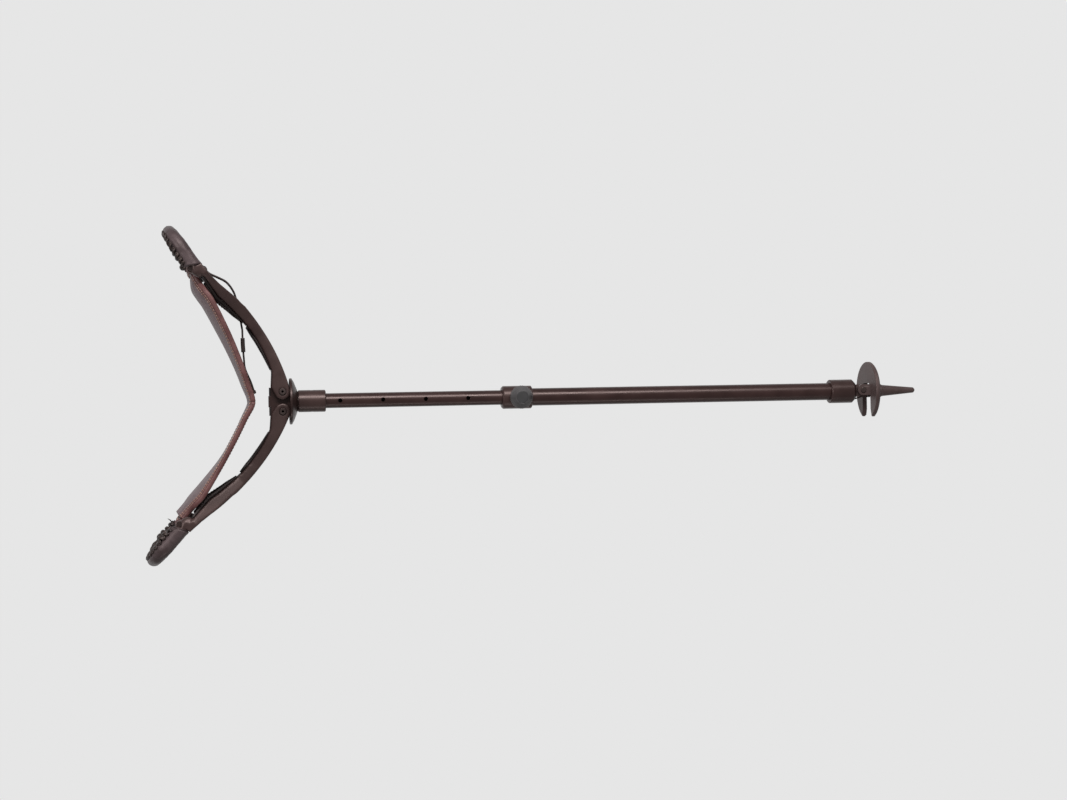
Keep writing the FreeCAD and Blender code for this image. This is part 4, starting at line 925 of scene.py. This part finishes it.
def buildStrap():
    section = stripSection(2 * strap["half"], strap["thick"], strap["edge"])
    bowFrames = strapFrames(strap["bow"], 8)
    bowMesh = ringsToMesh("strapBow", sweepRings(bowFrames, section, 0.12))
    bow = newPiece("strapBow", bowMesh, "strap_leather", "arm_a")
    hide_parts("closing_strap")
    tailFrames = strapFrames(strap["tail"], 8)
    rings = sweepRings(tailFrames, section)
    # the tail's end is cut to a blunt point
    for back, share in ((1, 0.35), (2, 0.6), (3, 0.8), (4, 0.93)):
        centre, across, through = tailFrames[-back]
        rings[-back] = [centre + across * (x * share) + through * y for x, y in section]
    tail = newPiece("strapTail", ringsToMesh("strapTail", rings), "strap_leather", None)
    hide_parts("strap_tail")
    # a small stud closes the tail's end
    stud = studMesh(tailFrames[-4][0], tailFrames[-4][2], *strap["endStudSize"])
    endStud = newPiece("strapEndStud", stud, "pin_steel", None)
    # the dome-headed stud through the bow's foot
    footX, footZ = strap["footStud"]
    footMesh = studMesh(armPoint("a", footX, 0, footZ), bowFrames[2][2], *strap["footStudSize"])
    footStud = newPiece("strapFootStud", footMesh, "pin_steel", "arm_a")
    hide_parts("strap_stud")
    keeper = buildKeeper()
    for item in (tail, endStud, keeper):
        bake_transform(item)


def studMesh(place, facing, radius, high):
    # a low dome on both faces of a strap
    side = facing.orthogonal().normalized()
    other = facing.cross(side)
    rings = []
    for lift, size in ((-1.0, 0.3), (-0.9, 0.75), (-0.55, 1.0), (0.55, 1.0), (0.9, 0.75), (1.0, 0.3)):
        rings.append([place + facing * (lift * high) + side * (x * size) + other * (y * size)
                      for x, y in roundSection(radius, 14)])
    return ringsToMesh("stud", rings)


def buildKeeper():
    frames = strapFrames(strap["keeper"], 6)
    wider, thicker = strap["keeperOver"]
    rings = []
    outer = stripSection(2 * strap["half"] + wider, strap["thick"] + thicker, 1.2)
    inner = stripSection(2 * strap["half"] + 0.5, strap["thick"] + 0.5, strap["edge"])
    loops = [(outer, 0.94, 0), (outer, 1.0, 0)] + [(outer, 1.0, k) for k in range(1, len(frames))]
    loops += [(inner, 1.0, k) for k in range(len(frames) - 1, -1, -1)]
    for section, share, k in loops:
        centre, across, through = frames[k]
        rings.append([centre + across * (x * share) + through * (y * share) for x, y in section])
    keeper = newPiece("strapKeeper", ringsToMesh("strapKeeper", rings, True), "strap_leather", None)
    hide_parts("strap_keeper")
    return keeper


# Guards along the arms' inner faces, with a row of light stitches near each edge

guard = {"thick": 4.8, "stemHalf": 12.4, "inset": 1.5, "threadSink": 0.5, "stem": (24.0, 62.0), "stemTop": 78.0,
         "face": [(4.6, 24.0), (8.9, 44.0), (10.9, 62.0), (10.2, 80.0), (7.3, 98.0), (0.6, 120.0), (0.6, 144.0)],
         "slim": [(2.6, 24.0), (7.0, 44.0), (9.0, 62.0), (8.3, 80.0), (5.6, 98.0), (0.6, 120.0), (0.6, 144.0)],
         "depth": [(24, 0.1), (40, 0.45), (52, 0.62), (68, 0.6), (78, 0.3), (84, 0.2), (96, 0.6), (120, 0.8),
                   (144, 0.5)],
         "threadStep": 4.0, "threadLong": 2.2, "threadRadius": 0.26}


def guardLine(side, low, high, yAt):
    # points on the guard's face, following the arm's inner curve
    points = []
    for x, z in curvePoints(guard["slim"], 6):
        if low <= z <= high:
            deep = guard["thick"] * along(guard["depth"], z) - guard["threadSink"]
            points.append(armPoint(side, x - deep, yAt(z), z))
    return points


def shapeGuard(side, mesh):
    # the stem's strip is stretched up the arm, and each strip thins towards its ends
    face = [(z, x) for x, z in curvePoints(guard["face"], 6)]
    slim = [(z, x) for x, z in curvePoints(guard["slim"], 6)]
    matrix = armMatrix(side)
    inverse = matrix.inverted()
    low, high = guard["stem"]
    for vertex in mesh.vertices:
        place = inverse @ (vertex.co / mm)
        deep = along(face, place.z) - place.x
        if place.z < high + 4:
            place.z = low + (place.z - low) * (guard["stemTop"] - low) / (high - low)
        place.x = along(slim, place.z) - deep * along(guard["depth"], place.z)
        vertex.co = (matrix @ place) * mm


def buildGuards(side):
    piece = softCopy("arm_guard_" + side, "armGuard_" + side, "guard_leather", "arm_" + side, 0.9)
    shapeGuard(side, piece.data)
    threads = []
    for sign in (-1, 1):
        edge = guard["stemHalf"] - guard["inset"] - 2.2
        for low, high, yAt in (
                (27, 76, lambda z: sign * edge),
                (86, 142, lambda z: sign * (edge + 2.4 + max(0, z - 84) * 0.52))):
            line = guardLine(side, low, high, yAt)
            even = evenPoints(line, guard["threadStep"])
            outward = [(armPoint(side, -1, 0, 0) - armPoint(side, 0, 0, 0)).normalized()] * len(even)
            threads += stitchRow(even, outward, guard["threadLong"], guard["threadRadius"])
    mesh = joinMeshes("guardThread_" + side, threads)
    thread = newPiece("guardThread_" + side, mesh, "grey_thread", "arm_" + side)


for side in ("a", "b"):
    buildCasting(side)
    buildSleeve(side)
    buildLacing(side)
    buildGuards(side)
    buildHem(side)
    buildSling(side)
    print("arm", side)
buildStrap()
print("strap")


# Dish under the hinge: its underside swells towards the collar and thins to a fine rim

dish = {"rimLift": 3.2, "belly": 1.8}


def buildDish():
    # its darker paint is painted shade under the arms
    skin = softCopy("head_dish", "headDish", "dish_painted_shade", "upper_shaft", 0.3)
    reach = max(math.hypot(v.co.x, v.co.y) for v in skin.data.vertices)
    top = max(v.co.z for v in skin.data.vertices)
    foot = min(v.co.z for v in skin.data.vertices)
    for vertex in skin.data.vertices:
        rim = (math.hypot(vertex.co.x, vertex.co.y) / reach) ** 2
        low = (top - vertex.co.z) / (top - foot)
        vertex.co.z += (dish["rimLift"] * rim - dish["belly"] * (1 - rim)) * low * mm


buildDish()
print("dish")


# The pivot pins' eyes are blind: a near-black core, painted shade inside each eye, fills each between its two
# faces

pinEyeShade = {"radius": 1.35, "half": 9.6}


def buildPinEyeShade(side):
    rings = []
    for y in (-pinEyeShade["half"], -pinEyeShade["half"] / 2, 0, pinEyeShade["half"] / 2, pinEyeShade["half"]):
        rings.append([armPivot[side] + Vector((x, y, z)) for x, z in roundSection(pinEyeShade["radius"], 20)])
    eyeShade = newPiece("pinEyeShade_" + side, ringsToMesh("pinEyeShade_" + side, rings), "buffer_rubber", "upper_shaft")


for side in ("a", "b"):
    buildPinEyeShade(side)
print("pins")
